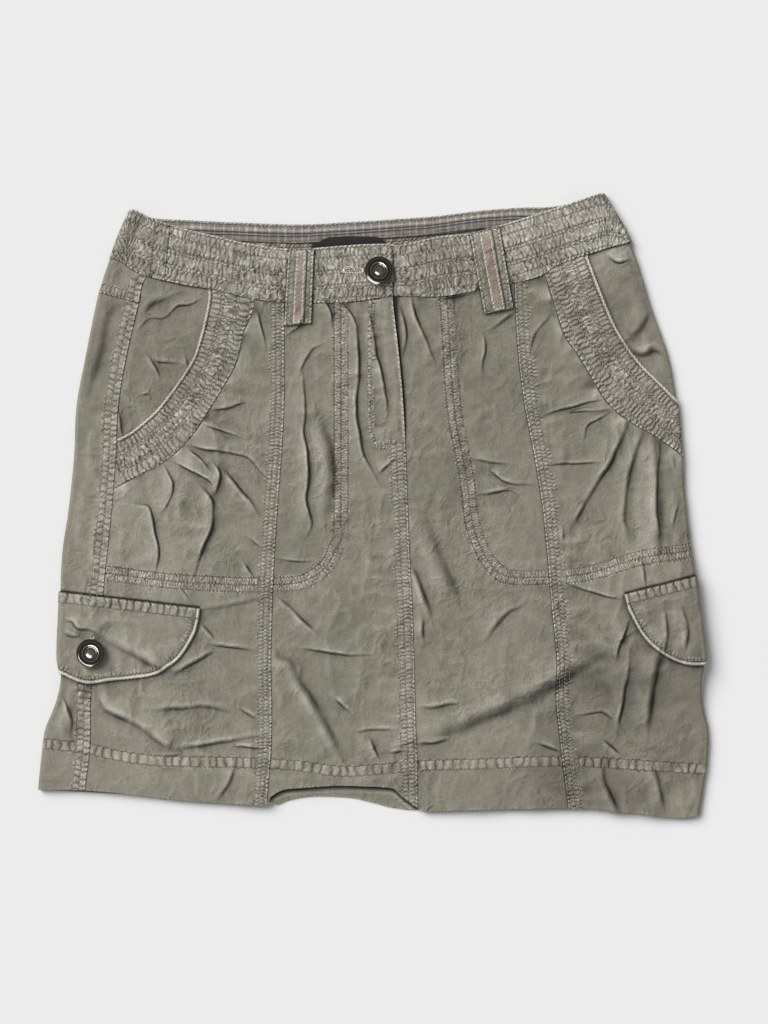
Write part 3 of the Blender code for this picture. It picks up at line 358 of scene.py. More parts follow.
def curve(points, step):
    """A smooth line through the points, sampled evenly."""
    p = np.array(points, float)
    knots = np.vstack([2 * p[0] - p[1], p, 2 * p[-1] - p[-2]])
    t = np.linspace(0, 1, 12, endpoint=False)[:, None]
    parts = []
    for a, b, c, d in zip(knots, knots[1:], knots[2:], knots[3:]):
        parts.append(0.5 * (2 * b + (c - a) * t + (2 * a - 5 * b + 4 * c - d) * t * t
                            + (3 * b - a - 3 * c + d) * t ** 3))
    return even(np.vstack(parts + [p[-1:]]), step)


def even(p, step):
    """A polyline resampled evenly."""
    along = np.concatenate([[0], np.cumsum(np.hypot(*np.diff(p, axis=0).T))])
    count = max(2, int(round(along[-1] / step)) + 1)
    t = np.linspace(0, along[-1], count)
    return np.column_stack([np.interp(t, along, p[:, 0]), np.interp(t, along, p[:, 1])])


def across_line(points):
    """y along a line that runs across the skirt."""
    dense = curve(points, 1.0)
    order = np.argsort(dense[:, 0])
    return lambda x: np.interp(x, dense[order, 0], dense[order, 1])


def seam(field):
    """x along an edge or seam that runs from the waist to the hem."""
    dense = curve([(row.y, getattr(row, field)) for row in reversed(SECTIONS)], 1.0)
    order = np.argsort(dense[:, 0])
    return lambda y: np.interp(y, dense[order, 0], dense[order, 1])


left_edge = seam("left")
right_edge = seam("right")
top_front, top_back = across_line(TOP_FRONT), across_line(TOP_BACK)
waist_front, waist_back = across_line(WAIST_FRONT), across_line(WAIST_BACK)
hem_front, hem_back = across_line(HEM_FRONT), across_line(HEM_BACK)
yoke_back = across_line(YOKE_BACK)
hem_rows = across_line(HEM_ROWS)


class Path:
    """A line on the cloth.  Distances are positive on its left, seen along its direction."""

    def __init__(self, points, step=0.7):
        self.p = even(np.asarray(points, float), step)
        tangent = np.gradient(self.p, axis=0)
        self.tangent = tangent / np.hypot(*tangent.T)[:, None]
        self.along = np.concatenate([[0], np.cumsum(np.hypot(*np.diff(self.p, axis=0).T))])
        self.length = self.along[-1]
        self.tree = kdtree.KDTree(len(self.p))
        for n, (a, b) in enumerate(self.p.tolist()):
            self.tree.insert((a, b, 0.0), n)
        self.tree.balance()

    def near(self, q):
        """(signed distance, place along the line) of points."""
        find = self.tree.find
        n = np.fromiter((find((a, b, 0.0))[1] for a, b in q.tolist()), int, len(q))
        r = q - self.p[n]
        t = self.tangent[n]
        side = np.sign(t[:, 0] * r[:, 1] - t[:, 1] * r[:, 0])
        return side * np.hypot(*r.T), self.along[n] + (t * r).sum(1)

    def at(self, along, distance):
        """Points at places along the line, moved to its left."""
        along = np.asarray(along, float)
        x = np.interp(along, self.along, self.p[:, 0])
        y = np.interp(along, self.along, self.p[:, 1])
        tx = np.interp(along, self.along, self.tangent[:, 0])
        ty = np.interp(along, self.along, self.tangent[:, 1])
        return np.column_stack([x - ty * distance, y + tx * distance])


# ---------------------------------------------------------------- the lie of the cloth
FAR = 9.0           # a distance to a crease or an edge that is too far to matter


class Grid:
    """A height or a tone over the whole skirt, read smoothly anywhere."""

    PITCH = 0.8
    X0, Y0 = -280.0, -262.0
    NX, NY = 701, 656

    def __init__(self, values):
        self.values = values

    @classmethod
    def axes(cls):
        """The x and the y of every place of a grid."""
        return np.meshgrid(cls.X0 + cls.PITCH * np.arange(cls.NX),
                           cls.Y0 + cls.PITCH * np.arange(cls.NY), indexing="ij")

    def at(self, x, y):
        """The values at places in millimetres."""
        u = np.clip((x - self.X0) / self.PITCH, 1, self.NX - 3)
        v = np.clip((y - self.Y0) / self.PITCH, 1, self.NY - 3)
        i, j = u.astype(int), v.astype(int)
        total = 0.0
        for di, wu in zip((-1, 0, 1, 2), self.weights(u - i)):
            for dj, wv in zip((-1, 0, 1, 2), self.weights(v - j)):
                total = total + wu * wv * self.values[i + di, j + dj]
        return total

    @staticmethod
    def weights(t):
        """Those of a cubic B-spline."""
        return ((1 - t) ** 3 / 6, (3 * t ** 3 - 6 * t * t + 4) / 6,
                (-3 * t ** 3 + 3 * t * t + 3 * t + 1) / 6, t ** 3 / 6)


def blurred(values, radius):
    """A Gaussian blur; radius in millimetres."""
    nx, ny = values.shape
    fx, fy = np.fft.fftfreq(nx)[:, None], np.fft.rfftfreq(ny)[None, :]
    sigma = radius / Grid.PITCH
    damp = np.exp(-2 * (math.pi * sigma) ** 2 * (fx * fx + fy * fy))
    return np.fft.irfft2(np.fft.rfft2(values) * damp, values.shape)


def lowest_near(values, radius):
    """The lowest value within a square of that radius."""
    reach = int(round(radius / Grid.PITCH))
    low = values.copy()
    for axis in (0, 1):
        source = low.copy()
        for places in range(-reach, reach + 1):
            low = np.minimum(low, np.roll(source, places, axis))
    return low


def lift(x, y):
    """How far the back is held off the surface by what is turned under it."""
    height = np.zeros_like(x)
    for bump in LIFTS:
        away = np.hypot(np.maximum(np.abs(x - bump.x) - bump.reach_x, 0.0),
                        np.maximum(np.abs(y - bump.y) - bump.reach_y, 0.0))
        height = np.maximum(height, bump.height * smooth(1 - away / bump.fade))
    return height


def crease(x, y, height, back, front, points):
    """(heights, distance to the foot of the lee side, darkness of the painted shade along that line)
    of one crease.
    """
    line = curve(points, 2.0)
    start, end = line[:-1], line[1:]
    step = end - start
    length = np.hypot(*step.T)
    unit = step / length[:, None]
    dx = x[..., None] - start[:, 0]
    dy = y[..., None] - start[:, 1]
    along = np.clip(dx * unit[:, 0] + dy * unit[:, 1], 0, length)
    rx, ry = dx - along * unit[:, 0], dy - along * unit[:, 1]
    away = np.hypot(rx, ry)
    n = away.argmin(-1)[..., None]
    pick = lambda values: np.take_along_axis(values, n, -1)[..., 0]
    away, rx, ry = pick(away), pick(rx), pick(ry)
    travelled = np.concatenate([[0], np.cumsum(length)])
    reached = travelled[n[..., 0]] + pick(along)
    share = reached / travelled[-1]
    # The line wanders and its ridge is uneven; at both ends it tapers and fades out.
    wander = noise(reached / 12, 0 * reached + 5 * points[0][0], 25)
    uneven = 1 + 0.4 * noise(reached / 14, 0 * reached + 3 * points[0][1], 26)
    nx, ny = unit[n[..., 0], 1], -unit[n[..., 0], 0]
    facing = np.sign((nx * AWAY_FROM_LIGHT[0] + ny * AWAY_FROM_LIGHT[1]).mean()) or 1.0
    side = (rx * nx + ry * ny) * facing
    u = np.where(np.abs(side) < 1e-9, 0.0, np.sign(side) * away) + 0.7 * front + 0.7 * wander
    taper = np.sqrt(np.clip(np.sin(math.pi * np.clip(share, 0.02, 0.98)), 0, 1))
    end_fade = smooth(1.15 - np.maximum(away - back, 0) / back)
    # The back falls off softly, the lee side steeply, with a slight dip beyond its foot.
    lee = 1.35 * bell(u, front) - 0.35 * bell(u, 3.2 * front)
    ridge = np.where(u < 0, bell(u, back), lee)
    foot = (u - 0.9 * front) / max(1.0, front / 1.3)
    deep = min(1.0, 0.45 + 0.3 * height) * (0.5 + 0.5 * smooth((3.2 - front) / 1.8))
    return height * uneven * ridge * taper * end_fade, foot, deep * uneven * taper * bell(foot, 3.0)


def laid_creases(table, x, y):
    """(height, distance to the nearest crease line, the darkness of its painted shade) over a grid.
    """
    height, foot, dark = np.zeros_like(x), np.full_like(x, FAR), np.zeros_like(x)
    for tall, back, front, points in table:
        p = np.array(points, float)
        margin = 3 * back
        a = np.clip(((p.min(0) - margin - (Grid.X0, Grid.Y0)) / Grid.PITCH).astype(int), 0, None)
        b = ((p.max(0) + margin - (Grid.X0, Grid.Y0)) / Grid.PITCH).astype(int)
        part = (slice(a[0], b[0]), slice(a[1], b[1]))
        ridge, away, line = crease(x[part], y[part], tall, back, LEE_SCALE * front, points)
        height[part] += ridge
        nearer = line > dark[part]
        foot[part] = np.where(nearer, away, foot[part])
        dark[part] = np.maximum(dark[part], line)
    return height, foot, dark


def lie_of_cloth():
    """Grids of the front's height, its low envelope, its relief, and its crease lines with the
    darkness of their painted shade.
    """
    x, y = Grid.axes()
    left, right = left_edge(y), right_edge(y)
    inward = np.minimum(x - left, right - x) - EDGE_RADIUS
    fade = smooth(inward / EDGE_REACH)
    close = smooth(inward / 16.0)
    base = lift(x, y)
    sag_y, sag = zip(*SAG)
    low_y, low = zip(*LOWEST)
    height = -np.interp(y, sag_y, sag) * fade
    for rise in RISES:
        reach = np.hypot((x - rise.x) / rise.reach_x, (y - rise.y) / rise.reach_y)
        height += rise.height * smooth(1.25 - reach) * close
    folded, foot, dark = laid_creases(CREASES, x, y)
    height += CREASE_SCALE * folded * close
    dark = dark * smooth(inward / 6.0)
    # Ripples of four sizes, bent so that they don't line up.
    wx = x + 7 * noise(x / 34, y / 34, 1) + 3 * noise(x / 13, y / 13, 2)
    wy = y + 7 * noise(x / 34, y / 34, 3) + 3 * noise(x / 13, y / 13, 4)
    ripple = (2.2 * noise(wx / 42, wy / 42, 5)
              + 1.6 * (0.5 - np.abs(noise(wx / 23, wy / 29, 6)))
              + 1.1 * (0.5 - np.abs(noise(wx / 12, wy / 13, 7)))
              + 0.16 * noise(x / 5, y / 5, 8))
    uneven = 0.75 + 0.35 * np.abs(x) / 250 + 0.45 * noise(x / 70, y / 60, 18)
    height += ripple * uneven * smooth(inward / 10.0)
    # The front sinks no lower than its lowest height, and turns evenly at the side edges.
    top = base + 2 * EDGE_RADIUS + height
    floor = base + np.interp(y, low_y, low)
    top = 0.5 * (top + floor + np.sqrt((top - floor) ** 2 + 0.8))
    edge_height = base + 2 * EDGE_RADIUS
    top = edge_height + (top - edge_height) * smooth((inward + 2) / 6.0)
    # What lies under another piece follows the low side of every ripple.
    relief = top - blurred(top, 4.0)
    below = np.minimum(top, lowest_near(top, 4.8) + 0.4)
    below = edge_height + (below - edge_height) * smooth((inward - 2) / 6.0)
    return Grid(top), Grid(below), Grid(relief), Grid(foot), Grid(dark)


def faded_and_lit(x, y):
    """How far the cloth is washed out, with painted light and shade, at points of the front."""
    amount = np.zeros_like(x)
    for fade in FADES_AND_PAINTED_LIGHT:
        reach = np.hypot((x - fade.x) / fade.reach_x, (y - fade.y) / fade.reach_y)
        amount += fade.amount * smooth(1.3 - reach)
    return amount * (1 + 0.7 * noise(x / 35, y / 35, 21))


def lie_of_back():
    """How far the back is wrinkled up off the surface that it lies on."""
    x, y = Grid.axes()
    inward = np.minimum(x - left_edge(y), right_edge(y) - x) - 2 * EDGE_RADIUS
    folded = laid_creases(BACK_CREASES, x, y)[0]
    ripple = 0.5 * (0.6 - np.abs(noise(x / 26, y / 31, 16))) + 0.3 * noise(x / 9, y / 11, 17)
    return Grid(np.clip(folded + ripple, 0, 2.2) * smooth(inward / 12.0))


TOP, BELOW, RELIEF, FOOT, CREASE_LINE = lie_of_cloth()
WRINKLED_BACK = lie_of_back()


def to_x(s, y):
    """The x of a point on the unrolled cloth."""
    left, right = left_edge(y) + EDGE_RADIUS, right_edge(y) - EDGE_RADIUS
    x = np.clip(s, left, right)
    x = np.where(s < left - TURN, left + (left - TURN - s), x)
    return np.where(s > right + TURN, right - (s - right - TURN), x)


def unroll(x, y):
    """The s of a point on the back, going round by the left."""
    left = left_edge(y) + EDGE_RADIUS
    return left - TURN - (x - left)


def place(s, y, level, relief, field):
    """3-D points of the cloth at a level outward from its outer face."""
    left, right = left_edge(y) + EDGE_RADIUS, right_edge(y) - EDGE_RADIUS
    x = to_x(s, y)
    under_l, under_r = s < left - TURN, s > right + TURN
    back = lift(x, y) + WRINKLED_BACK.at(x, y) - level - np.minimum(relief, 0.0)
    z = np.where(under_l | under_r, back, field.at(x, y) + level + relief)
    for side, edge, over in ((-1, left, (s < left) & ~under_l), (1, right, (s > right) & ~under_r)):
        angle = np.clip(side * (s - edge) / EDGE_RADIUS, 0, math.pi)
        radius = EDGE_RADIUS + level + relief * (1 + np.cos(angle)) / 2
        x = np.where(over, edge + side * radius * np.sin(angle), x)
        z = np.where(over, lift(edge, y) + EDGE_RADIUS + radius * np.cos(angle), z)
    return np.column_stack([x, y, np.maximum(z, 0.0)]) * MM


def across(front, back):
    """A line right round the tube, from the back's far end to the right side seam."""
    s = np.linspace(-800, 325, 1400)
    y = np.zeros_like(s)
    for _ in range(14):
        left, right = left_edge(y) + EDGE_RADIUS, right_edge(y) - EDGE_RADIUS
        turned = np.clip(np.maximum(left - s, s - right) / TURN, 0, 1)
        x = to_x(s, y)
        y = front(x) * (1 - turned) + back(x) * turned
    return np.column_stack([s, y])


DOWNWARD = np.linspace(260, -260, 400)


def down(field):
    """A seam of the table as a line from the waist to the hem."""
    return np.column_stack([seam(field)(DOWNWARD), DOWNWARD])


def far_end(under_left):
    """The right side seam underneath, met from either way round the tube."""
    x = right_edge(DOWNWARD) - RIGHT_WRAP
    if under_left:
        return np.column_stack([unroll(x - GAP, DOWNWARD), DOWNWARD])
    right = right_edge(DOWNWARD) - EDGE_RADIUS
    return np.column_stack([right + TURN + (right - x) - GAP, DOWNWARD])


# ---------------------------------------------------------------- strips of stitched cloth
# The form of a strip gives (share of the height, how wild they are) for its puckers at a
# distance across it.
def ladder(rows, d):
    """Even rungs from row to row."""
    return 1.0 + 0 * d, 0.2 + 0 * d


def puffed(rows, d):
    """Wild puckers along the rows and calmer puffs of cloth between them."""
    away = np.min([np.abs(d - row) for row in rows], axis=0)
    return 0.34 + 0.66 * bell(away, 3.0), 0.85 + 0 * d


def netted(rows, d):
    """Rungs along both sides and a low wild net between them."""
    middle = smooth((d - 8.5) / 3) * smooth((24.5 - d) / 3)
    return 1.0 - 0.35 * middle, 0.12 + 0.88 * middle


# A stitched strip along a path: on which side of it, its stitch rows, its reach and how
# softly it ends, the height and spacing of its puckers, how far it is lifted and tinted,
# the height of the gathers that run on past it, the thread and how its puckers lie.
Strip = namedtuple("Strip", "path side rows reach soft pucker bar lift tint spill thread form",
                   defaults=(ladder,))


def on_strip(strip, q):
    """(distance on the strip's side of its path, place along it) of points."""
    d, t = strip.path.near(q)
    return d * strip.side, t


def strip_form(strip, q):
    """Where points lie on a strip, and what it does to the cloth there."""
    d, t = on_strip(strip, q)
    outside = np.maximum(np.maximum(-t, t - strip.path.length), 0.0)
    inside = smooth(1 - outside / 2.0)
    seed = len(strip.rows)
    ragged = strip.soft * noise(t / (1.2 * strip.bar), 0 * t, seed + 14)
    zone = smooth((d + 0.6) / 1.2) * inside
    zone = zone * smooth((strip.reach + ragged - d) / max(strip.soft, 0.8))
    # Puckers across it, grooves along its rows, and gathers that run on past it.
    bars = (0.8 * noise(t / (0.9 * strip.bar), d / (2.2 * strip.bar), seed)
            + 0.5 * noise(t / 11, d / 20, seed + 3))
    grooves = sum((bell(d - row, 0.6) for row in strip.rows), 0 * d) * zone
    past = np.maximum(d - strip.reach, 0)
    gathers = (noise(t / (1.7 * strip.bar), d / 30, seed + 5) * np.exp(-past / 8.0)
               * smooth((d - 0.5 * strip.reach) / strip.reach) * inside * (d > 0))
    relief = zone * (strip.lift + 0.5 * strip.pucker * bars) - 0.25 * grooves
    relief = relief + strip.spill * gathers
    # Painted highlights on the puckers and gathers where they rise, painted shade where they sink.
    light = zone * np.clip(bars, 0, 1) * 0.18 + 0.3 * strip.spill * np.clip(gathers, 0, 1)
    dark = zone * np.clip(-bars, 0, 1) * 0.22 + 0.5 * strip.spill * np.clip(-gathers, 0, 1)
    rows = (-6.0, *strip.rows, max((0.0, *strip.rows)) + 9.0)
    phase = np.interp(d, rows, range(-1, len(rows) - 1))
    spacing = np.diff(rows)[np.clip(np.searchsorted(rows, d) - 1, 0, len(rows) - 2)]
    beyond = np.maximum(np.maximum(-d, d - strip.reach), 0.0) + outside
    wear = np.column_stack([light, dark, zone * strip.tint])
    share, wild = strip.form(strip.rows, d)
    pucker = np.column_stack([zone * strip.pucker * share, strip.bar + 0 * t, d])
    return relief, wear, beyond, np.column_stack([t, phase, spacing]), pucker, wild


# How an edge is finished: its rounding, how worn it is, how dark the painted shade along it
# is, how far in its worn line lies, and whether it is rolled.
Edge = namedtuple("Edge", "round worn shade place roll")
EDGES = {
    "over": Edge(0.5, 0.8, 0.0, 0.6, 0.0),
    "under": Edge(0.45, 0.0, 0.6, 0.6, 0.0),
    "free": Edge(0.9, 1.0, 0.0, 0.8, 0.0),
    "folded": Edge(0.8, 0.6, 0.9, 1.5, 0.0),
    "rolled": Edge(0.6, 0.2, 0.0, 0.6, 1.0),
    "roped": Edge(0.6, 1.0, 0.2, 0.6, 1.0),
    "taped": Edge(0.5, 0.9, 0.9, 1.7, 0.0),
    "hem": Edge(0.9, 0.25, 0.0, 0.6, 0.0),
    "plain": Edge(0.2, 0.0, 0.0, 0.6, 0.0),
}
ROLL = 1.25         # radius of a rolled edge
# The spacing of a mesh's points: at stitches and edges, on plain cloth, where an outer face
# doesn't show, and where an inner one doesn't.
FINE, CLOTH_STEP, UNDERNEATH, HIDDEN = 0.9, 1.35, 4.0, 6.0
# No point lies this near an outline but a row along it, and that row stays clear of corners.
CROWDED, CLOSE_ROW, CLEAR = 0.75, 0.32, 0.25
LAYERS = ("wear", "edge", "rim", "strip", "pucker", "fold")


def crossing(a, b):
    """Where polyline a first crosses polyline b, as places on each."""
    p, r = a[:-1, None], (a[1:] - a[:-1])[:, None]
    q, w = b[None, :-1], (b[1:] - b[:-1])[None]
    turn = r[..., 0] * w[..., 1] - r[..., 1] * w[..., 0]
    turn = np.where(np.abs(turn) < 1e-12, 1e-12, turn)
    gap = q - p
    t = (gap[..., 0] * w[..., 1] - gap[..., 1] * w[..., 0]) / turn
    u = (gap[..., 0] * r[..., 1] - gap[..., 1] * r[..., 0]) / turn
    hits = np.argwhere((t >= 0) & (t < 1) & (u >= 0) & (u < 1))
    i, j = hits[0]
    return i + t[i, j], j + u[i, j]


def cut_between(p, start, end):
    """The stretch of a polyline between two places on it."""
    places = np.arange(len(p))
    inner = [k for k in range(len(p)) if min(start, end) < k < max(start, end)]
    if end < start:
        inner.reverse()
    stops = np.array([start, *inner, end], float)
    return np.column_stack([np.interp(stops, places, p[:, 0]), np.interp(stops, places, p[:, 1])])


def trimmed(lines):
    """Lines that cross each other in turn, each cut to the stretch between its crossings."""
    count = len(lines)
    meets = [crossing(lines[n], lines[(n + 1) % count]) for n in range(count)]
    return [cut_between(lines[n], meets[n - 1][1], meets[n][0]) for n in range(count)]


def fill(outline, step):
    """A staggered grid of points inside an outline."""
    a, b = outline, np.roll(outline, -1, 0)
    rows = np.arange(outline[:, 1].min() + 0.4 * step, outline[:, 1].max(), 0.866 * step)
    points = []
    for n, y in enumerate(rows):
        over = (a[:, 1] <= y) != (b[:, 1] <= y)
        share = (y - a[over, 1]) / (b[over, 1] - a[over, 1])
        ends = np.sort(a[over, 0] + share * (b[over, 0] - a[over, 0]))
        for x0, x1 in zip(ends[::2], ends[1::2]):
            first = math.ceil((x0 + 0.4 * step) / step - 0.5 * (n % 2))
            last = math.floor((x1 - 0.4 * step) / step - 0.5 * (n % 2))
            xs = (np.arange(first, last + 1) + 0.5 * (n % 2)) * step
            points.append(np.column_stack([xs, np.full(len(xs), y)]))
    return np.vstack(points)


def smallest_box(outline):
    """Width and length of the smallest rectangle an outline fits in."""
    turned = [outline @ np.array(((math.cos(a), -math.sin(a)), (math.sin(a), math.cos(a))))
              for a in np.radians(np.arange(0, 90, 2))]
    return min((np.sort(np.ptp(p, axis=0)) for p in turned), key=np.prod)


class Piece:
    """One cut piece of cloth: a closed sheet with a detailed face and a plain one.

    Its edges are (line, kind) pairs that meet end to end.  On its mesh, the first layer holds
    light (worn spots, washed-out cloth and painted highlights), dark (painted shade, and cloth
    that is less washed out) and tint, "edge" the distance to the nearest edge, the place along
    it and its roll, "rim" how worn that edge is, how dark the painted shade along it is and the
    place of its worn line, "strip" the place along a strip, the count of its rows and their
    spacing, "pucker" the height and spacing of its puckers and the place across it, and "fold"
    the distance to a crease line, the darkness of the painted shade along it and how wild the
    puckers are.

    The detailed face is the one that is seen, where it is visible; where other_shows, the
    other face has its detail too.  extra changes the relief and the layers further.
    """

    def __init__(self, name, edges, outer, inner, strips=(), crumple=1.0, seen="outer",
                 visible=None, step=CLOTH_STEP, extra=None, other_shows=None):
        self.name, self.outer, self.inner = name, outer, inner
        self.strips, self.crumple, self.seen = strips, crumple, seen
        self.visible, self.step, self.extra = visible, step, extra
        self.other_shows = other_shows
        self.lines = [(Path(line), kind) for line, kind in edges]
        outline = np.vstack([even(line, FINE)[:-1] for line, _ in edges])
        area = 0.5 * np.sum(outline[:, 0] * np.roll(outline[:, 1], -1)
                            - np.roll(outline[:, 0], -1) * outline[:, 1])
        self.outline = outline if area > 0 else outline[::-1]
        self.area = abs(area)
        self.size = smallest_box(outline)

    def level(self, value, q):
        """A level that is either one number or worked out at each point."""
        return value(q[:, 0], q[:, 1]) if callable(value) else np.full(len(q), value)

    def detail(self, q, face):
        """(relief, layers) of a face at points of the cloth."""
        x = to_x(q[:, 0], q[:, 1])
        over = np.abs(q[:, 0] - x) < 1e-6 if face == "outer" else np.zeros(len(q), bool)
        relief = self.crumple * (0.10 * noise(q[:, 0] / 4.1, q[:, 1] / 3.7, 12)
                                 + 0.16 * noise(q[:, 0] / 8.3, q[:, 1] / 9.1, 13))
        bump = RELIEF.at(x, q[:, 1]) * over
        layers = {key: np.zeros((len(q), 3)) for key in LAYERS}
        # Lighter on the ridges, where the cloth is worn, and darker in the hollows as painted shade.
        layers["wear"][:, 0] = np.clip(bump, 0, 1.6) * 0.13
        layers["wear"][:, 1] = np.clip(-bump, 0, 1.6) * 0.38
        # Washed-out tone, with painted light and shade on broad folds.
        fading_and_light = faded_and_lit(x, q[:, 1]) * over
        layers["wear"][:, 0] += np.clip(fading_and_light, 0, 1)
        layers["wear"][:, 1] += np.clip(-fading_and_light, 0, 1)
        layers["fold"][:, 0] = np.where(over, FOOT.at(x, q[:, 1]), FAR)
        layers["fold"][:, 1] = np.where(over, CREASE_LINE.at(x, q[:, 1]), 0.0)
        nearest = np.full(len(q), np.inf)
        for strip in self.strips:
            raised, wear, beyond, at, pucker, wild = strip_form(strip, q)
            relief = relief + raised
            layers["wear"] += wear
            closer = (beyond < nearest) & (strip.pucker > 0)
            nearest = np.where(closer, beyond, nearest)
            layers["strip"][closer], layers["pucker"][closer] = at[closer], pucker[closer]
            layers["fold"][closer, 2] = wild[closer]
        nearest = np.full(len(q), FAR)
        for path, kind in self.lines:
            edge = EDGES[kind]
            d, t = path.near(q)
            d = np.abs(d)
            down = np.clip(edge.round - d, 0, edge.round)
            relief = relief - (edge.round - np.sqrt(edge.round ** 2 - down ** 2))
            tube = np.sqrt(np.clip(1 - ((d - ROLL) / ROLL) ** 2, 0, 1))
            relief = relief + edge.roll * (0.7 * tube - 0.35 * bell(d - 2.4 * ROLL, 0.6))
            closer = (d < nearest) & (kind != "plain")
            nearest = np.where(closer, d, nearest)
            layers["edge"][closer] = np.column_stack([d, t, edge.roll + 0 * d])[closer]
            layers["rim"][closer] = (edge.worn, edge.shade, edge.place)
        layers["edge"][:, 0] = nearest
        if self.extra:
            relief = self.extra(q, relief, layers)
        sign = 1.0 if face == "outer" else -1.0
        return sign * np.clip(relief, -0.9, 3.0), layers

    def points(self, face):
        """Points of one face: fine where it shows stitched cloth, coarse where nothing shows."""
        everywhere = lambda s, y: np.ones(len(s), bool)
        nowhere = lambda s, y: np.zeros(len(s), bool)
        shown = (self.visible or everywhere) if face == self.seen else (self.other_shows or nowhere)
        fine, plain, coarse = (fill(self.outline, step) for step in (FINE, self.step, UNDERNEATH))
        hidden = fill(self.outline, HIDDEN)
        near_fine, near_plain = self.zone(fine), self.zone(plain)
        outward = face == "outer" and self.visible is not None
        kept = [fine[near_fine & shown(*fine.T)], plain[~near_plain & shown(*plain.T)],
                coarse[~shown(*coarse.T)] if outward else hidden[~shown(*hidden.T)]]
        return self.spaced(np.vstack(kept))

    def zone(self, q):
        """Which points lie at stitches, edges or sharp creases."""
        near = CREASE_LINE.at(to_x(*q.T), q[:, 1]) > 0.5
        for strip in self.strips:
            d, t = on_strip(strip, q)
            near |= (d > -1.5) & (d < strip.reach + 1.0) & (t > -1) & (t < strip.path.length + 1)
        for path, kind in self.lines:
            if kind != "plain":
                near |= np.abs(path.near(q)[0]) < 2.4
        return near

    def spaced(self, q):
        """Drops points that crowd the outline, and adds a close row along it."""
        away = np.min([np.abs(path.near(q)[0]) for path, _ in self.lines], axis=0)
        q = q[away > CROWDED]
        tangent = np.roll(self.outline, -1, 0) - np.roll(self.outline, 1, 0)
        normal = np.column_stack([-tangent[:, 1], tangent[:, 0]]) / np.hypot(*tangent.T)[:, None]
        row = self.outline + CLOSE_ROW * normal
        away = np.min([np.abs(path.near(row)[0]) for path, _ in self.lines], axis=0)
        return np.vstack([q, row[away > CLEAR]])

    def face(self, face):
        """(points, faces, places of the outline's points) of one face."""
        q = self.points(face)
        count = len(q)
        verts = np.vstack([q, self.outline]).tolist()
        border = list(range(count, len(verts)))
        found, _, faces, sources, _, _ = delaunay_2d_cdt(verts, [], [border], 1, 1e-5)
        place_of = {}
        for n, source in enumerate(sources):
            for k in source:
                if k >= count:
                    place_of[k - count] = n
        return np.array([tuple(v) for v in found]), faces, place_of

    def skin(self, q, face):
        """(3-D points, layers) of one face."""
        level = self.level(self.outer if face == "outer" else self.inner, q)
        relief, layers = self.detail(q, face)
        shown = np.full(len(q), face == self.seen)
        if face == self.seen and self.visible is not None:
            shown = self.visible(*q.T)
        detailed = shown if self.other_shows is None or face == self.seen else self.other_shows(*q.T)
        high = place(q[:, 0], q[:, 1], level, relief * detailed, TOP)
        low = place(q[:, 0], q[:, 1], level, relief * detailed, BELOW)
        # Only an outer face that shows follows every crease.
        upper = shown & (face == "outer")
        return np.where(upper[:, None], high, low), layers

    def build(self, material, slot):
        """The closed sheet: both faces, and a strip that joins them all round."""
        outer_q, outer_faces, outer_border = self.face("outer")
        inner_q, inner_faces, inner_border = self.face("inner")
        skins = [self.skin(outer_q, "outer"), self.skin(inner_q, "inner")]
        first, count = len(outer_q), len(self.outline)
        faces = [tuple(f) for f in outer_faces]
        faces += [tuple(first + n for n in reversed(f)) for f in inner_faces]
        for k in range(count):
            n = (k + 1) % count
            if all(key in border for key in (k, n) for border in (outer_border, inner_border)):
                faces.append((outer_border[n], outer_border[k],
                              first + inner_border[k], first + inner_border[n]))
        mesh = smooth_mesh(self.name, np.vstack([points for points, _ in skins]), faces)
        for key in LAYERS:
            layer = mesh.attributes.new(key, "FLOAT_VECTOR", "POINT")
            both = np.vstack([layers[key] for _, layers in skins]).astype(np.float32)
            layer.data.foreach_set("vector", both.ravel())
        return dressed(self.name, mesh, material)

    def surface(self, q, above):
        """3-D points just above the seen face."""
        relief = self.detail(q, self.seen)[0]
        side = 1.0 if self.seen == "outer" else -1.0
        level = self.level(self.outer if self.seen == "outer" else self.inner, q) + side * above
        return place(q[:, 0], q[:, 1], level, relief, TOP)


def smooth_mesh(name, points, faces):
    """A smoothly shaded mesh of points in metres."""
    mesh = bpy.data.meshes.new(name)
    mesh.from_pydata(points.tolist(), [], faces)
    mesh.polygons.foreach_set("use_smooth", [True] * len(mesh.polygons))
    return mesh


def added(name, data):
    """A new object in the scene."""
    thing = bpy.data.objects.new(name, data)
    bpy.context.scene.collection.objects.link(thing)
    return thing


def dressed(name, mesh, material):
    """A piece of the skirt, with its material."""
    mesh.materials.append(material)
    thing = added(name, mesh)
    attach(thing, "root")
    return thing


# ---------------------------------------------------------------- stitches
def inside(outline, q):
    """Which points lie inside an outline."""
    a, b = outline, np.roll(outline, -1, 0)
    x, y = q[:, :1], q[:, 1:]
    over = (a[:, 1] <= y) != (b[:, 1] <= y)
    rise = np.where(b[:, 1] == a[:, 1], 1e-9, b[:, 1] - a[:, 1])
    at = a[:, 0] + (y - a[:, 1]) / rise * (b[:, 0] - a[:, 0])
    return (over & (x < at)).sum(1) % 2 == 1


STITCH_PITCH = 2.8
STITCH_RADIUS = 0.27
STITCH_HEIGHT = 0.08                # of a stitch's middle above the cloth
THREAD_SIDES = 5
THREAD_RINGS = ((0.0, 0.35), (0.22, 1.0), (0.78, 1.0), (1.0, 0.35))     # (place, width)


def ring_faces(rings, sides):
    """The faces of a closed form made of rings of points."""
    last = (rings - 1) * sides
    faces = [tuple(reversed(range(sides))), tuple(range(last, last + sides))]
    for ring in range(0, last, sides):
        for k in range(sides):
            n = (k + 1) % sides
            faces.append((ring + k, ring + n, ring + sides + n, ring + sides + k))
    return faces


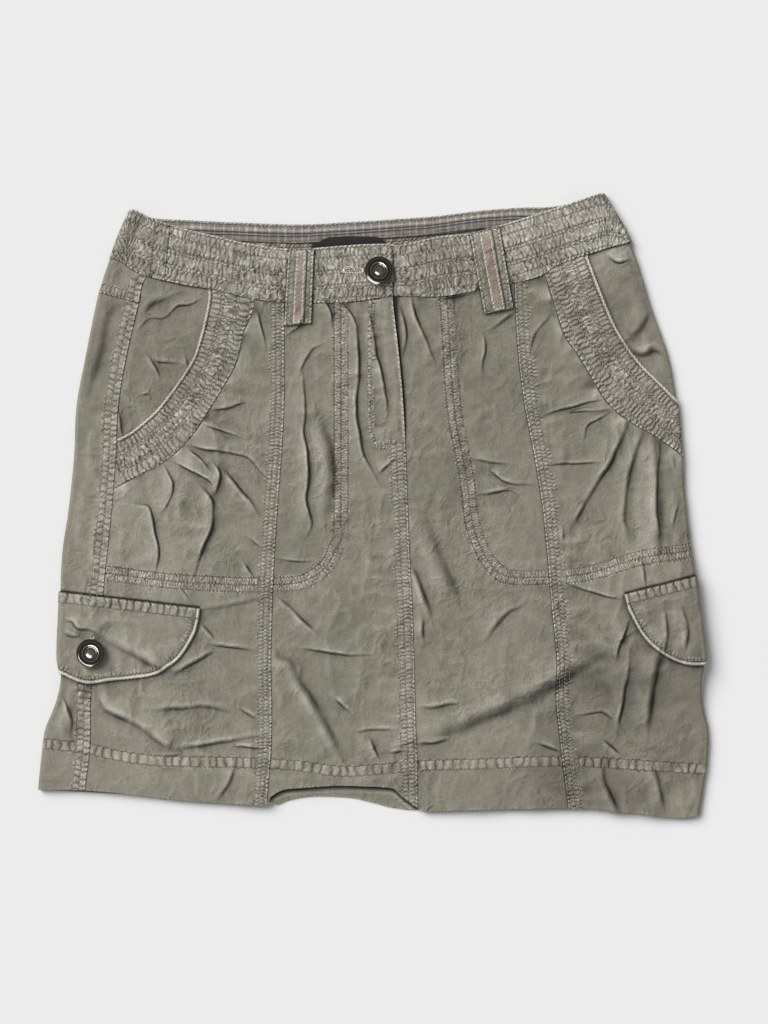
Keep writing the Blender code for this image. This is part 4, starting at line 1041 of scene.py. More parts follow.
def threads(name, starts, ends, radius, material):
    """One mesh of short thread ends, each a small tapered rod between two points."""
    axis = ends - starts
    axis = axis / np.maximum(np.linalg.norm(axis, axis=1, keepdims=True), 1e-9)
    aside = np.cross(axis, (0.0, 0.0, 1.0))
    aside /= np.maximum(np.linalg.norm(aside, axis=1, keepdims=True), 1e-9)
    above = np.cross(aside, axis)
    rings = []
    for share, wide in THREAD_RINGS:
        middle = starts + (ends - starts) * share
        for angle in np.arange(THREAD_SIDES) * math.tau / THREAD_SIDES:
            out = aside * math.cos(angle) + above * math.sin(angle)
            rings.append(middle + radius * MM * wide * out)
    faces = ring_faces(len(THREAD_RINGS), THREAD_SIDES)
    every = [tuple(n * len(rings) + v for v in face) for n in range(len(starts)) for face in faces]
    mesh = smooth_mesh(name, np.stack(rings, 1).reshape(-1, 3), every)
    return dressed(name, mesh, material)


def stitch_ends(piece, path, distance):
    """Both ends of each stitch of a row that lies on the piece."""
    t = np.arange(STITCH_PITCH / 2, path.length, STITCH_PITCH)
    t = t + 0.12 * STITCH_PITCH * noise(t * 1.7, t * 0 + distance, 30)
    wander = distance + 0.25 * noise(t / 30, t * 0 + distance, 31)
    reach = 0.36 * STITCH_PITCH
    a, b = path.at(t - reach, wander), path.at(t + reach, wander)
    kept = inside(piece.outline, a) & inside(piece.outline, b)
    if piece.visible is not None:
        kept &= piece.visible(*a.T)
    return a[kept], b[kept]


def sew(piece):
    """The stitches along a piece's strips, one mesh for each thread."""
    every = {}
    for strip in piece.strips:
        for row in strip.rows:
            ends = stitch_ends(piece, strip.path, row * strip.side)
            every.setdefault(strip.thread, []).append(ends)
    made = []
    for thread, ends in every.items():
        starts, stops = (np.vstack([pair[n] for pair in ends]) for n in (0, 1))
        if len(starts):
            a, b = (piece.surface(q, STITCH_HEIGHT) for q in (starts, stops))
            made.append(threads(f"{piece.name}_{thread}_stitches", a, b, STITCH_RADIUS,
                                THREADS[thread]))
    return made


# ---------------------------------------------------------------- shader values
class Signal:
    """A shader value that adds and multiplies like a number."""

    def __init__(self, tree, socket):
        self.tree, self.socket = tree, socket

    def maths(self, operation, *others, clamp=False):
        """The value after one of the Math node's operations."""
        node = self.tree.nodes.new("ShaderNodeMath")
        node.operation, node.use_clamp = operation, clamp
        for value, socket in zip((self, *others), node.inputs):
            feed(self.tree, value, socket)
        return Signal(self.tree, node.outputs[0])

    def __add__(self, other):
        return self.maths("ADD", other)

    def __mul__(self, other):
        return self.maths("MULTIPLY", other)

    def __sub__(self, other):
        return self.maths("SUBTRACT", other)

    def __rsub__(self, other):
        return self * -1.0 + other

    def clamped(self):
        """The value held between 0 and 1."""
        return self.maths("ADD", 0.0, clamp=True)

    def size(self):
        """The value without its sign."""
        return self.maths("ABSOLUTE")

    def wave(self):
        """A sine with a period of one."""
        return (self * math.tau).maths("SINE")

    def bell(self, middle, width):
        """1 at the middle, and dying away over the width on both sides."""
        away = (self - middle) * (1 / width)
        return (away * away * -1.0).maths("EXPONENT")


def feed(tree, value, socket):
    """Links or sets a socket's value."""
    if isinstance(value, Signal):
        tree.links.new(value.socket, socket)
    elif isinstance(value, bpy.types.NodeSocket):
        tree.links.new(value, socket)
    else:
        socket.default_value = value


def node(tree, kind, inputs=(), **settings):
    """A shader node with its settings made and its inputs fed."""
    made = tree.nodes.new(kind)
    for key, value in settings.items():
        setattr(made, key, value)
    for key, value in dict(inputs).items():
        feed(tree, value, made.inputs[key])
    return made


def speckle(tree, where, scale, detail=2.0, rough=0.5, bend=0.0):
    """Noise about 0.5, its scale in features per unit of the place."""
    made = node(tree, "ShaderNodeTexNoise", {"Vector": where, "Scale": scale, "Detail": detail,
                                             "Roughness": rough, "Distortion": bend})
    return Signal(tree, made.outputs[0])


def joined(tree, x, y, z=0.0):
    """A place made of three values."""
    return node(tree, "ShaderNodeCombineXYZ", {0: x, 1: y, 2: z}).outputs[0]


def stretched(tree, where, scale, turn=0.0):
    """A place scaled along its axes and turned round z."""
    return node(tree, "ShaderNodeMapping",
                {"Vector": where, "Scale": scale, "Rotation": (0, 0, turn)}).outputs[0]


def layer(tree, name):
    """The three values of one of a cloth mesh's layers."""
    vector = node(tree, "ShaderNodeAttribute", attribute_name=name).outputs["Vector"]
    parts = node(tree, "ShaderNodeSeparateXYZ", {0: vector})
    return [Signal(tree, socket) for socket in parts.outputs]


def toned(tree, colour, share):
    """A colour times a shade of grey."""
    grey = node(tree, "ShaderNodeCombineColor", {0: share, 1: share, 2: share}).outputs[0]
    return mixed(tree, 1.0, colour, grey, "MULTIPLY")


def mixed(tree, share, a, b, blend="MIX"):
    """One colour turning into another with a share."""
    made = node(tree, "ShaderNodeMix", {0: share, 6: a, 7: b}, data_type="RGBA", blend_type=blend)
    return made.outputs[2]


def shader(name, roughness, metallic=0.0, specular=0.3):
    """A new material, its node tree, its surface and the place of a point in metres."""
    material = bpy.data.materials.new(name)
    material.use_nodes = True
    tree = material.node_tree
    surface = tree.nodes["Principled BSDF"]
    surface.inputs["Roughness"].default_value = roughness
    surface.inputs["Metallic"].default_value = metallic
    surface.inputs["Specular IOR Level"].default_value = specular
    where = node(tree, "ShaderNodeTexCoord").outputs["Object"]
    return material, tree, surface, where


def finished(tree, surface, colour, height):
    """Joins up a colour and a height in millimetres."""
    tree.links.new(colour, surface.inputs["Base Color"])
    bump = node(tree, "ShaderNodeBump", {"Height": height, "Strength": 1.0, "Distance": MM})
    tree.links.new(bump.outputs[0], surface.inputs["Normal"])


# ---------------------------------------------------------------- materials
# Colours mixed in: the light one for worn cloth and painted highlights, the dark one for painted
# shade and less washed-out cloth.
WORN_AND_HIGHLIT, DEEP = (0.68, 0.655, 0.57, 1.0), (0.030, 0.027, 0.022, 1.0)
FADED_BROWN = (0.270, 0.205, 0.165, 1.0)
PLATED, BARE = (0.062, 0.057, 0.048, 1.0), (0.62, 0.58, 0.50, 1.0)


def puckers(tree):
    """(height, light, dark) of the puckers and the stitch holes along rows of stitches; the light on
    the puckers' crests is a painted highlight, the dark in their cracks painted shade.
    """
    along, phase, spacing = layer(tree, "strip")
    height, bar, across = layer(tree, "pucker")
    free = layer(tree, "fold")[2]
    height = height.clamped()
    count = along.maths("DIVIDE", bar + 0.001)
    out = across.maths("DIVIDE", bar + 0.001)
    gathered = speckle(tree, joined(tree, count * 0.62, out * 0.40, 3.0), 1.0, 1.0, 0.5, 0.35)
    crossed = speckle(tree, joined(tree, count * 0.55, out * 0.46, 9.0), 1.0, 1.0, 0.5, 0.35)
    shift = Signal(tree, node(tree, "ShaderNodeTexWhiteNoise", {"W": phase.maths("FLOOR")},
                              noise_dimensions="1D").outputs["Value"])
    turns = count + shift * 0.8 + crossed * (free * 1.6 + 1.0)
    rung = (turns * 0.5).wave().size()
    strength = (speckle(tree, joined(tree, count * 0.30, phase * 0.8, 8.0), 1.0, 2.0) * 2.6
                - 0.5).clamped()
    row_away = (phase - phase.maths("ROUND")).size() * spacing
    loose = 1.0 - row_away.bell(0.0, 0.9) * 0.6
    raised = height * loose * ((rung - 0.6) * strength
                               + (gathered.bell(0.5, 0.12) - crossed.bell(0.5, 0.07) * 0.7)
                               * (free * 0.35 + 0.2))
    firm = (height * 2.2).clamped()
    stitched = (height * 3.0).clamped() * row_away.bell(0.0, 0.62)
    dashes = (along * (1 / 2.9) + shift).wave()
    # Painted highlights on the crests of the puckers, painted shade in the cracks between them.
    crest = (gathered.bell(0.5, 0.035) * 0.5 * free + rung.bell(1.0, 0.3) * strength * 0.26) * firm
    crack = (crossed.bell(0.5, 0.03) * 0.5 * free + rung.bell(0.0, 0.26) * strength * 0.75) * firm
    light = crest + stitched * dashes.clamped() * 0.4
    dark = crack + stitched * ((0.2 - dashes).clamped() * 0.7 + 0.3)
    return raised - stitched * 0.18, light, dark


def finished_edges(tree):
    """(height, light, dark) of the rims, rolled edges and seams: the light is where an edge is worn,
    the dark is painted shade along the seams and in the grooves of the edges.
    """
    away, along, roll = layer(tree, "edge")
    worn, shade, place = layer(tree, "rim")
    broken = (along * (1 / 3.7) - away * 0.25 + speckle(tree, joined(tree, along * 0.2, 4.0), 1.0)
              * 1.6).wave() * 0.5 + 0.5
    rope = (along * (1 / 3.4) - away * 0.40).wave() * 0.5 + 0.5
    patchy = (speckle(tree, joined(tree, along * 0.08, 7.0), 1.0, 3.0) * 3.0 - 0.9).clamped()
    rim = worn * (1.0 - roll) * (away - place).bell(0.0, 0.7) * (broken * 0.85 + 0.25)
    tube = roll * away.bell(1.25, 1.1) * (worn * (rope * 0.75 - 0.15) + 0.88)
    twist = roll * worn * away.bell(1.25, 1.3) * (1.0 - rope) * 0.22
    inner_line = roll * away.bell(2.9, 0.5) * (patchy * 0.6 + 0.35)
    seam_line = shade * away.bell(0.0, 0.75) * (patchy * 0.6 + 0.4)
    ticks = worn * (1.0 - roll) * (away - place).bell(0.2, 0.8) * (1.0 - broken) * 0.6
    height = tube * 0.3 + rim * 0.2 - inner_line * 0.3 - ticks * 0.12
    return height, rim * 0.9 + tube * 0.95, inner_line * 0.7 + seam_line + ticks + twist


def cloth_material(name, green, pink):
    """Garment-washed cotton: washed out, mottled and worn on its ridges, with painted shade in its
    creases and hollows and painted highlights on its crests.
    """
    material, tree, surface, where = shader(name, 0.86, specular=0.2)
    surface.inputs["Sheen Weight"].default_value = 0.06
    surface.inputs["Sheen Roughness"].default_value = 0.45
    patches = (speckle(tree, where, 11.0, 4.0, 0.62) * 3.4 - 1.25).clamped()
    cloudy = speckle(tree, where, 45.0, 4.0, 0.6)
    broad = speckle(tree, where, 15.0, 2.0)
    grain = speckle(tree, where, 900.0, 3.0, 0.75)
    slub = speckle(tree, stretched(tree, where, (1, 0.12, 1)), 900.0, 1.0)
    coarse = (speckle(tree, where, 62.0, 1.5, 0.5, 0.8) - 0.5).size()
    small = (speckle(tree, where, 150.0, 1.5, 0.5, 0.9) - 0.5).size()
    crumpled = (speckle(tree, where, 17.0, 1.0) * 3.2 - 1.0).clamped()
    crinkle = (coarse * -3.6 + small * -1.8 * crumpled) * (crumpled * 0.7 + 0.35)
    raised, crest, crack = puckers(tree)
    rolled, rim, line = finished_edges(tree)
    fold, fold_dark, _ = layer(tree, "fold")
    # Painted shade along the foot of each crease's lee side, and a painted highlight on its lit side.
    crease = fold_dark * fold.bell(0.2, 0.55) * 1.3
    ridge = fold_dark * fold.bell(-1.7, 0.7) * 0.35
    light, dark, tint = layer(tree, "wear")
    pucker_height = layer(tree, "pucker")[0]
    # Random tone and weave, with the hollows of the crinkles darkened as painted shade.
    shade = ((cloudy * 0.28 + 0.86) * ((grain - 0.5) * (pucker_height * 1.6 + 1.0) + 1.0)
             * (slub * 0.25 + 0.875) * (crinkle * 0.20 + 1.08) * (broad * 0.36 + 0.82))
    colour = toned(tree, mixed(tree, patches, green, pink), shade)
    colour = mixed(tree, (tint * 0.8).clamped(), colour, FADED_BROWN)
    broken = grain * 2.4 - 0.25
    # Worn cloth and painted highlights lighten the colour; painted shade in hollows, cracks, seams
    # and creases darkens it.
    colour = mixed(tree, ((light + crest + rim + ridge) * broken).clamped(), colour, WORN_AND_HIGHLIT)
    colour = mixed(tree, ((dark + crack + line + crease) * 0.85).clamped(), colour, DEEP)
    weave = speckle(tree, stretched(tree, where, (1, 0.5, 1)), 1500.0, 1.0)
    height = crinkle * 0.9 + grain * 0.12 + weave * 0.05 + raised * 1.1 + rolled - crease * 0.2
    finished(tree, surface, colour, height)
    return material


def twill_material(name, colour, roughness, rib, contrast=0.6):
    """A small part's material: fine ribs across its colour, broken by speckle."""
    material, tree, surface, where = shader(name, roughness)
    spots = speckle(tree, where, 700.0, 3.0, 0.7)
    ribs = speckle(tree, stretched(tree, where, (1, 0.25, 1), 0.9), 1 / rib, 1.0)
    share = (spots * contrast + (1 - contrast / 2)) * (ribs * contrast + (1 - contrast / 2))
    finished(tree, surface, toned(tree, colour, share), (spots + ribs) * 0.08)
    return material


# The check inside the waist: how far down each stripe lies and its grey.
CHECK_DEPTH = 15.0
CHECK_STRIPES = ((0.0, 0.15), (1.2, 0.20), (2.0, 0.12), (2.7, 0.22), (4.0, 0.24), (4.6, 0.38),
                 (5.7, 0.36), (6.3, 0.22), (6.8, 0.24), (7.2, 0.07), (7.9, 0.07), (8.4, 0.22),
                 (9.2, 0.25), (9.5, 0.07), (10.2, 0.07), (10.7, 0.20), (12.4, 0.23), (13.2, 0.17),
                 (15.0, 0.21))


def check_material():
    """The woven check of the tape inside the waist: stripes along it and thin bars across."""
    material, tree, surface, where = shader("check_cloth", 0.88, specular=0.2)
    grain = speckle(tree, where, 800.0, 3.0, 0.7)
    along, phase, spacing = layer(tree, "strip")
    down = phase * spacing + speckle(tree, where, 14.0) * 1.2 - 0.6
    ramp = node(tree, "ShaderNodeValToRGB", {"Fac": down * (1 / CHECK_DEPTH)})
    elements = ramp.color_ramp.elements
    while len(elements) < len(CHECK_STRIPES):
        elements.new(0.5)
    for element, (depth, value) in zip(elements, CHECK_STRIPES):
        element.position = depth / CHECK_DEPTH
        element.color = (value * 1.04, value * 0.93, value * 0.85, 1.0)
    turns = along * (1 / 6.2) + speckle(tree, joined(tree, along * 0.1, 2.0), 1.0) * 1.2
    bars = turns.wave().bell(1.0, 0.25) * 0.45
    ticks = (along * (1 / 2.7)).wave() * down.bell(2.0, 0.8) * 0.35
    fine = speckle(tree, joined(tree, along * 0.9, down * 0.12), 1.0, 2.0)
    streaks = speckle(tree, joined(tree, along * 0.06, down * 1.1), 1.0, 2.0)
    share = (bars + fine * 0.8 + streaks * 1.0 - ticks) * (grain * 1.6 + 0.2)
    finished(tree, surface, toned(tree, ramp.outputs[0], share), grain * 0.12 + bars * 0.06)
    return material


def metal_material():
    """Dark plated metal, scuffed bare along its rings."""
    material, tree, surface, where = shader("gunmetal", 0.17, 1.0, 0.5)
    bare = Signal(tree, node(tree, "ShaderNodeAttribute", attribute_name="bare").outputs["Fac"])
    spots = speckle(tree, where, 900.0, 3.0, 0.7)
    scuffed = (bare * (spots * 2.6 - 0.5)).clamped()
    colour = mixed(tree, scuffed, PLATED, BARE)
    feed(tree, scuffed * 0.25 + spots * 0.06 + 0.14, surface.inputs["Roughness"])
    finished(tree, surface, colour, spots * 0.012)
    return material


CLOTH = cloth_material("washed_cotton", (0.208, 0.202, 0.154, 1.0), (0.236, 0.212, 0.172, 1.0))
CHECK = check_material()
TAPE = cloth_material("twill_tape", (0.300, 0.240, 0.195, 1.0), (0.240, 0.185, 0.150, 1.0))
LABEL = twill_material("woven_label", (0.024, 0.024, 0.024, 1.0), 0.55, 0.0006, contrast=0.5)
METAL = metal_material()
ZIP = twill_material("zip_tape", (0.110, 0.090, 0.075, 1.0), 0.75, 0.0009)
THREADS = {
    name: twill_material(f"{name}_thread", colour, 0.8, 0.001, contrast)
    for name, colour, contrast in (("khaki", (0.360, 0.335, 0.270, 1.0), 0.3),
                                   ("brown", (0.200, 0.160, 0.125, 1.0), 0.3),
                                   ("cream", (0.760, 0.720, 0.630, 1.0), 0.2))
}

# ---------------------------------------------------------------- the lines of the skirt
SIDE_L, PRIN_L = down("side_l"), down("princess_l")
CENTRE, PRIN_R = down("centre"), down("princess_r")
WAIST, HEM = across(waist_front, waist_back), across(hem_front, hem_back)
TOP_EDGE, YOKE = across(top_front, top_back), across(yoke_back, yoke_back)
HEM_LINE = across(hem_rows, hem_rows)
FAR_LEFT, FAR_RIGHT = far_end(True), far_end(False)
WAIST_SEAM = curve(BAND_SEAM, 1.0)
MOUTH_LINE_L, BAND_LINE_L, BAG_LINE_L = (curve(line, 0.8) for line in (MOUTH_L, BAND_L, BAG_L))
MOUTH_LINE_R, BAND_LINE_R, BAG_LINE_R = (curve(line, 0.8) for line in (MOUTH_R, BAND_R, BAG_R))


def moved(line, distance):
    """A line moved to its left."""
    path = Path(line)
    return path.at(path.along, distance)


def shift(line, dx, dy=0.0):
    """A line moved along both axes."""
    return line + (dx, dy)


def eased(line, reach):
    """A line across the skirt with its bends spread out over a reach on each side."""
    near = int(reach / abs(line[1, 0] - line[0, 0]))
    even_share = np.ones(2 * near + 1) / (2 * near + 1)
    y = np.convolve(np.pad(line[:, 1], near, "edge"), even_share, "valid")
    return np.column_stack([line[:, 0], y])


BAG_HALF_WIDTH = 7.0        # of the strip along a pocket bag
PIPING = 2.4                # width of the rolled edge of a pocket's mouth
TOP_MARGIN = 1.6            # from the waistband's top to its ruching
TOP_EASE = 12.0             # over which the waistband's rows even out the bends of its top
WRAP_ROW = 13.0             # from the waistband's side seam to the row behind it
FLAP_RIM = 2.7              # from a flap's outline to the row along it

# The kinds of strip: stitch rows, reach, softness of the end, height and spacing of the
# puckers, lift, tint, height of the gathers past it, thread and, if not a ladder, form.
KINDS = {
    "princess_l": ((2.4, 6.4, 10.4), 12.0, 2.0, 0.60, 3.0, 0.25, 0.05, 0.5, "khaki"),
    "princess_r": ((2.4, 6.4, 10.4), 13.0, 3.5, 0.63, 3.3, 0.25, 0.05, 1.1, "khaki"),
    "centre": ((1.8, 7.0, 12.0), 13.5, 3.0, 0.55, 3.2, 0.2, 0.05, 0.9, "khaki"),
    "side": ((5.2, 10.4), 11.8, 1.5, 0.55, 5.0, 0.3, 0.05, 0.4, "khaki"),
    "yoke": ((1.4, 7.0), 8.4, 1.0, 0.5, 3.2, 0.3, 0.1, 0.2, "khaki"),
    "hem": ((0.8, 8.8), 9.8, 1.0, 0.48, 7.0, 0.2, 0.1, 0.3, "brown"),
    "fly": ((0.0, 3.2), 6.0, 2.5, 0.8, 3.2, 0.3, 0.1, 1.2, "khaki", puffed),
    "waist": ((0.4, 7.2, 17.6, 20.2, 29.0, 31.6, 39.9), 60.0, 0.0, 0.80, 4.0, 0.0, 0.1, 0.0, "khaki",
              puffed),
    "below_waist": ((), 1.0, 1.0, 0.0, 4.5, 0.0, 0.0, 0.8, "khaki"),
    "wrap_row": ((0.0,), 1.0, 1.0, 0.3, 4.0, 0.0, 0.0, 0.0, "khaki"),
    "band": ((0.6, 8.4, 10.8, 20.0, 22.2, 31.4), 50.0, 0.0, 0.85, 3.6, 0.0, 0.05, 0.0, "khaki",
             netted),
    "below_band": ((), 1.0, 1.0, 0.0, 4.2, 0.0, 0.0, 1.7, "khaki"),
    "bag": ((1.4, 7.0, 12.6), 14.0, 2.5, 0.50, 2.4, 0.1, 0.18, 0.4, "brown", puffed),
    "flap_top": ((8.4,), 9.2, 1.0, 0.48, 6.0, 0.3, 0.0, 0.35, "brown"),
    "flap_rim": ((1.0,), 4.2, 2.5, 0.45, 3.4, 0.0, 0.0, 0.6, "khaki"),
    "loop": ((2.2,), 5.2, 0.5, 0.35, 4.5, 0.1, 0.0, 0.0, "khaki"),
    "tape": ((1.7,), 2.4, 0.5, 0.0, 2.6, 0.0, 0.0, 0.0, "cream"),
    "facing": ((0.0, CHECK_DEPTH), 12.0, 0.0, 0.3, 5.0, 0.0, 0.0, 0.0, "khaki"),
}


def stitched(kind, line, side):
    """A strip of a kind, on the left (1) or the right (-1) of a line."""
    return Strip(Path(line), side, *KINDS[kind])


princess_l, princess_r = stitched("princess_l", PRIN_L, -1), stitched("princess_r", PRIN_R, 1)
centre = stitched("centre", CENTRE[CENTRE[:, 1] < FLY_BOTTOM], -1)
fly = stitched("fly", curve(FLY_STITCH, 0.8), 1)
side_l, hem, yoke = (stitched("side", SIDE_L, -1), stitched("hem", HEM_LINE, -1),
                     stitched("yoke", YOKE, 1))
waist = stitched("waist", shift(eased(TOP_EDGE, TOP_EASE), 0, -TOP_MARGIN), -1)
wrap_row = stitched("wrap_row", moved(WAIST_SEAM, -WRAP_ROW), 1)
below_waist = stitched("below_waist", WAIST, -1)
band_l = stitched("band", moved(MOUTH_LINE_L, PIPING), 1)
band_r = stitched("band", moved(MOUTH_LINE_R, -PIPING), -1)
gather_l, gather_r = stitched("below_band", BAND_LINE_L, 1), stitched("below_band", BAND_LINE_R, -1)
bag_l, bag_r = (stitched("bag", moved(line, -BAG_HALF_WIDTH), 1) for line in (BAG_LINE_L, BAG_LINE_R))
CENTRE_PATH = Path(CENTRE)
MOUTH_PATH_L, MOUTH_PATH_R = Path(MOUTH_LINE_L), Path(MOUTH_LINE_R)
side_x = seam("side_l")


def raised_fly(q, relief, layers):
    """The left front lies over the right one down to the end of the fly."""
    d = -CENTRE_PATH.near(q)[0]
    share = smooth((q[:, 1] - 47) / 12)
    layers["wear"][:, 0] += 0.4 * bell(d - 1.0, 1.2) * share
    pulled = 0.5 * noise(d / 5, q[:, 1] / 26, 19) + 0.5 * noise(d / 9, q[:, 1] / 60, 20)
    return relief + (1.5 * smooth((13 - d) / 9) + pulled * smooth((34 - d) / 10)) * share


def under_fly(q, relief, layers):
    """The right front dips beneath the left one, in its shadow."""
    d = CENTRE_PATH.near(q)[0]
    share = smooth((q[:, 1] - 40) / 40)
    wide = 1.4 + 2.4 * smooth((q[:, 1] - 110) / 50)
    layers["wear"][:, 1] += (1.3 * bell(d, wide) + 0.3 * bell(d, 6.0)) * share
    return relief - 0.9 * smooth((9 - d) / 7) * share


def shaded_back(q, relief, layers):
    """The back lies in the shadow of the left flap, and of the front's raised hem."""
    x = to_x(q[:, 0], q[:, 1])
    under = hem_front(x) - q[:, 1]
    shown = in_hem_gap(*q.T)
    layers["wear"][:, 1] += shown * 1.3 * bell(under - 1.0, 1.7)
    # A painted highlight along the top of the strip that shows under the raised hem.
    layers["wear"][:, 0] += shown * 0.35 * bell(under - 5.0, 1.3)
    return beside_flap(FLAPS["flap_left"])(q, relief, layers)


def beside_flap(flap):
    """The dark line and the soft shadow that a flap lays on the panel under it."""
    lines = [Path(line) for line, _ in flap_edges(flap)]

    def shaded(q, relief, layers):
        for line, dark, soft in zip(lines, (0.5, 1.5), (0.35, 0.0)):
            d, t = line.near(q)
            out = -flap.side * d
            beside = (t > 0) & (t < line.length)
            layers["wear"][:, 1] += beside * (dark * bell(out - 0.7, 1.1)
                                              + soft * bell(out - 1.0, 5.0) * (out > 0))
        return relief

    return shaded


def around_loop(corners):
    """The dark line of painted shade that a belt loop lays on the cloth round it."""
    outline = Path(np.array([*corners, corners[0]], float))

    def shaded(q, relief, layers):
        layers["wear"][:, 1] += 0.75 * bell(outline.near(q)[0], 1.3)
        return relief

    return shaded


def each(*steps):
    """One change to the cloth after another."""
    def all_of_them(q, relief, layers):
        for step in steps:
            relief = step(q, relief, layers)
        return relief

    return all_of_them


def woven_across(q, relief, layers):
    """The check's thin bars run straight up, whatever the slant of the turned cloth."""
    layers["strip"][:, 0] = to_x(q[:, 0], q[:, 1])
    return relief


ROUND_THE_EDGE = 7.0        # how far round a side edge the cloth still shows
IN_THE_MOUTH = 4.0          # how far past its mouth a pocket's bag still has its detail
OPENING_FLOOR = 180.0       # the lowest y seen through the waist
HEM_GAP_TOP = -215.0        # the highest y seen under the raised hem
HEM_GAP_FROM, HEM_GAP_TO = 150.0, 330.0     # and how far round from the left edge


# Where cloth shows: on top, in the pockets' mouths, through the waist and under the hem.
def on_top_left(s, y):
    return s > left_edge(y) - ROUND_THE_EDGE


def on_top_right(s, y):
    return s < right_edge(y) + ROUND_THE_EDGE


def in_mouth_l(s, y):
    return MOUTH_PATH_L.near(np.column_stack([s, y]))[0] < IN_THE_MOUTH


def in_mouth_r(s, y):
    return (MOUTH_PATH_R.near(np.column_stack([s, y]))[0] > -IN_THE_MOUTH) & on_top_right(s, y)


def in_waist_opening(s, y):
    return (y > OPENING_FLOOR) & (s < left_edge(y))


def in_hem_gap(s, y):
    round_by = left_edge(y) - s
    return (y < HEM_GAP_TOP) & (round_by > HEM_GAP_FROM) & (round_by < HEM_GAP_TO)


def underlap(top, below):
    """The right waistband runs down under the left one."""
    start = SECTIONS[0].centre
    return lambda s, y: below + (top - below) * np.clip((s - start) / UNDERLAP_RAMP, 0, 1)


def bag_level(depth):
    """The pocket bag lies deep at the mouth and is level with the seam at the side."""
    return lambda s, y: depth + 1.2 * smooth((14.0 - np.abs(s - side_x(y))) / 12.0)


def flap_edges(flap):
    """The rolled edge and the folded top edge of a flap, from its shape laid flat."""
    tilt = math.radians(flap.tilt)
    along = np.array((flap.side * math.cos(tilt), flap.side * math.sin(tilt)))
    below = np.array((math.sin(tilt), -math.cos(tilt)))
    far = [(FLAP_WIDTH - d, depth) for d, depth in reversed(flap.far)]
    bow = curve([*flap.near, *far[1:]], 0.8)
    bow = np.vstack([even(np.array([(0, 0), bow[0]]), 0.8)[:-1], bow,
                     even(np.array([bow[-1], (FLAP_WIDTH, 0)]), 0.8)[1:]])
    top = np.array([(FLAP_WIDTH, 0.0), (0.0, 0.0)])
    lay = lambda p: np.array((flap.corner_x, flap.corner_y)) + p[:, :1] * along + p[:, 1:] * below
    return [(lay(bow), "rolled"), (lay(even(top, 0.8)), "folded")]


def straight_edges(corners, kind):
    """The edges of a piece with straight sides."""
    closed = np.array([*corners, corners[0]], float)
    return [(closed[n:n + 2], kind) for n in range(len(corners))]


def mix(p, q, t):
    """The place at a share of the way from one corner to another."""
    return (p[0] + (q[0] - p[0]) * t, p[1] + (q[1] - p[1]) * t)


# ---------------------------------------------------------------- pieces
# The levels of a piece's outer and inner face above the cloth's outer face.
PANEL, WAISTBAND, BAND, BAG = (0.0, -1.2), (0.8, -1.7), (0.5, -1.2), (-1.5, -2.5)
LOOP, TAPE_LEVEL, FLAP, FACING = (2.3, 1.1), (3.6, 2.6), (1.5, 0.3), (-2.0, -3.0)
UNDERLAP = (-2.0, -3.5)
DRESS = []          # (piece, node, material, slot, what it rests on)


def cut(part, edges, levels, material=CLOTH, slot="cloth", on="back_panel", crossing=True, **facts):
    """A piece to be built.  Edges that cross each other end where they do."""
    lines = [line for line, _ in edges]
    if crossing:
        lines = trimmed(lines)
    edges = [(line, kind) for line, (_, kind) in zip(lines, edges)]
    DRESS.append((Piece(f"{part}_cloth", edges, *levels, **facts), part, material, slot, on))


# The rounded corner of the waistband's buttonhole end, and the end that lies under it.
CORNER = np.array(((3.0, 212.5), (9.0, 208.3), (12.6, 206.4), (14.6, 203.0), (16.5, 197.0)))
UNDERLAP_END = shift(CENTRE, -UNDERLAP_LENGTH)
# Edges that several pieces share.
TO_WAIST, FROM_WAIST = (shift(WAIST, 0, -GAP), "under"), (shift(WAIST, 0, GAP), "over")
TO_HEM, TO_TOP = (HEM, "hem"), (TOP_EDGE, "free")
TO_SIDE, FROM_SIDE = (shift(SIDE_L, GAP), "under"), (shift(SIDE_L, -GAP), "over")
ROUND_LEFT, ROUND_RIGHT = (FAR_LEFT, "plain"), (FAR_RIGHT, "plain")

cut("front_left", [(shift(PRIN_L, GAP), "under"), TO_HEM, (shift(CENTRE, -GAP), "over"), TO_WAIST],
    PANEL, strips=(centre, bag_l, hem, fly, below_waist),
    extra=each(raised_fly, around_loop(LOOP_L)))
cut("front_right", [(shift(CENTRE, GAP), "under"), TO_HEM, (shift(PRIN_R, -GAP), "under"), TO_WAIST],
    PANEL, strips=(bag_r, hem, below_waist), extra=each(under_fly, around_loop(LOOP_R)))
cut("side_panel_left", [TO_WAIST, (shift(PRIN_L, -GAP), "over"), TO_HEM, TO_SIDE,
                        (moved(BAND_LINE_L, GAP), "under")],
    PANEL, strips=(princess_l, bag_l, hem, gather_l, below_waist),
    extra=beside_flap(FLAPS["flap_left"]))
cut("side_panel_right", [TO_WAIST, (moved(BAND_LINE_R, -GAP), "under"), ROUND_RIGHT, TO_HEM,
                         (shift(PRIN_R, GAP), "over")],
    PANEL, strips=(princess_r, bag_r, hem, gather_r, below_waist), visible=on_top_right,
    extra=beside_flap(FLAPS["flap_right"]))
cut("pocket_band_left", [TO_WAIST, (moved(BAND_LINE_L, -GAP), "over"), TO_SIDE,
                         (MOUTH_LINE_L, "roped")],
    BAND, strips=(band_l,), on="pocket_bag_left", step=FINE)
cut("pocket_band_right", [TO_WAIST, (MOUTH_LINE_R, "roped"), ROUND_RIGHT,
                          (moved(BAND_LINE_R, GAP), "over")],
    BAND, strips=(band_r,), on="pocket_bag_right", step=FINE, visible=on_top_right)
cut("pocket_bag_left", [TO_WAIST, (BAG_LINE_L, "plain"), TO_SIDE],
    [bag_level(depth) for depth in BAG], visible=in_mouth_l)
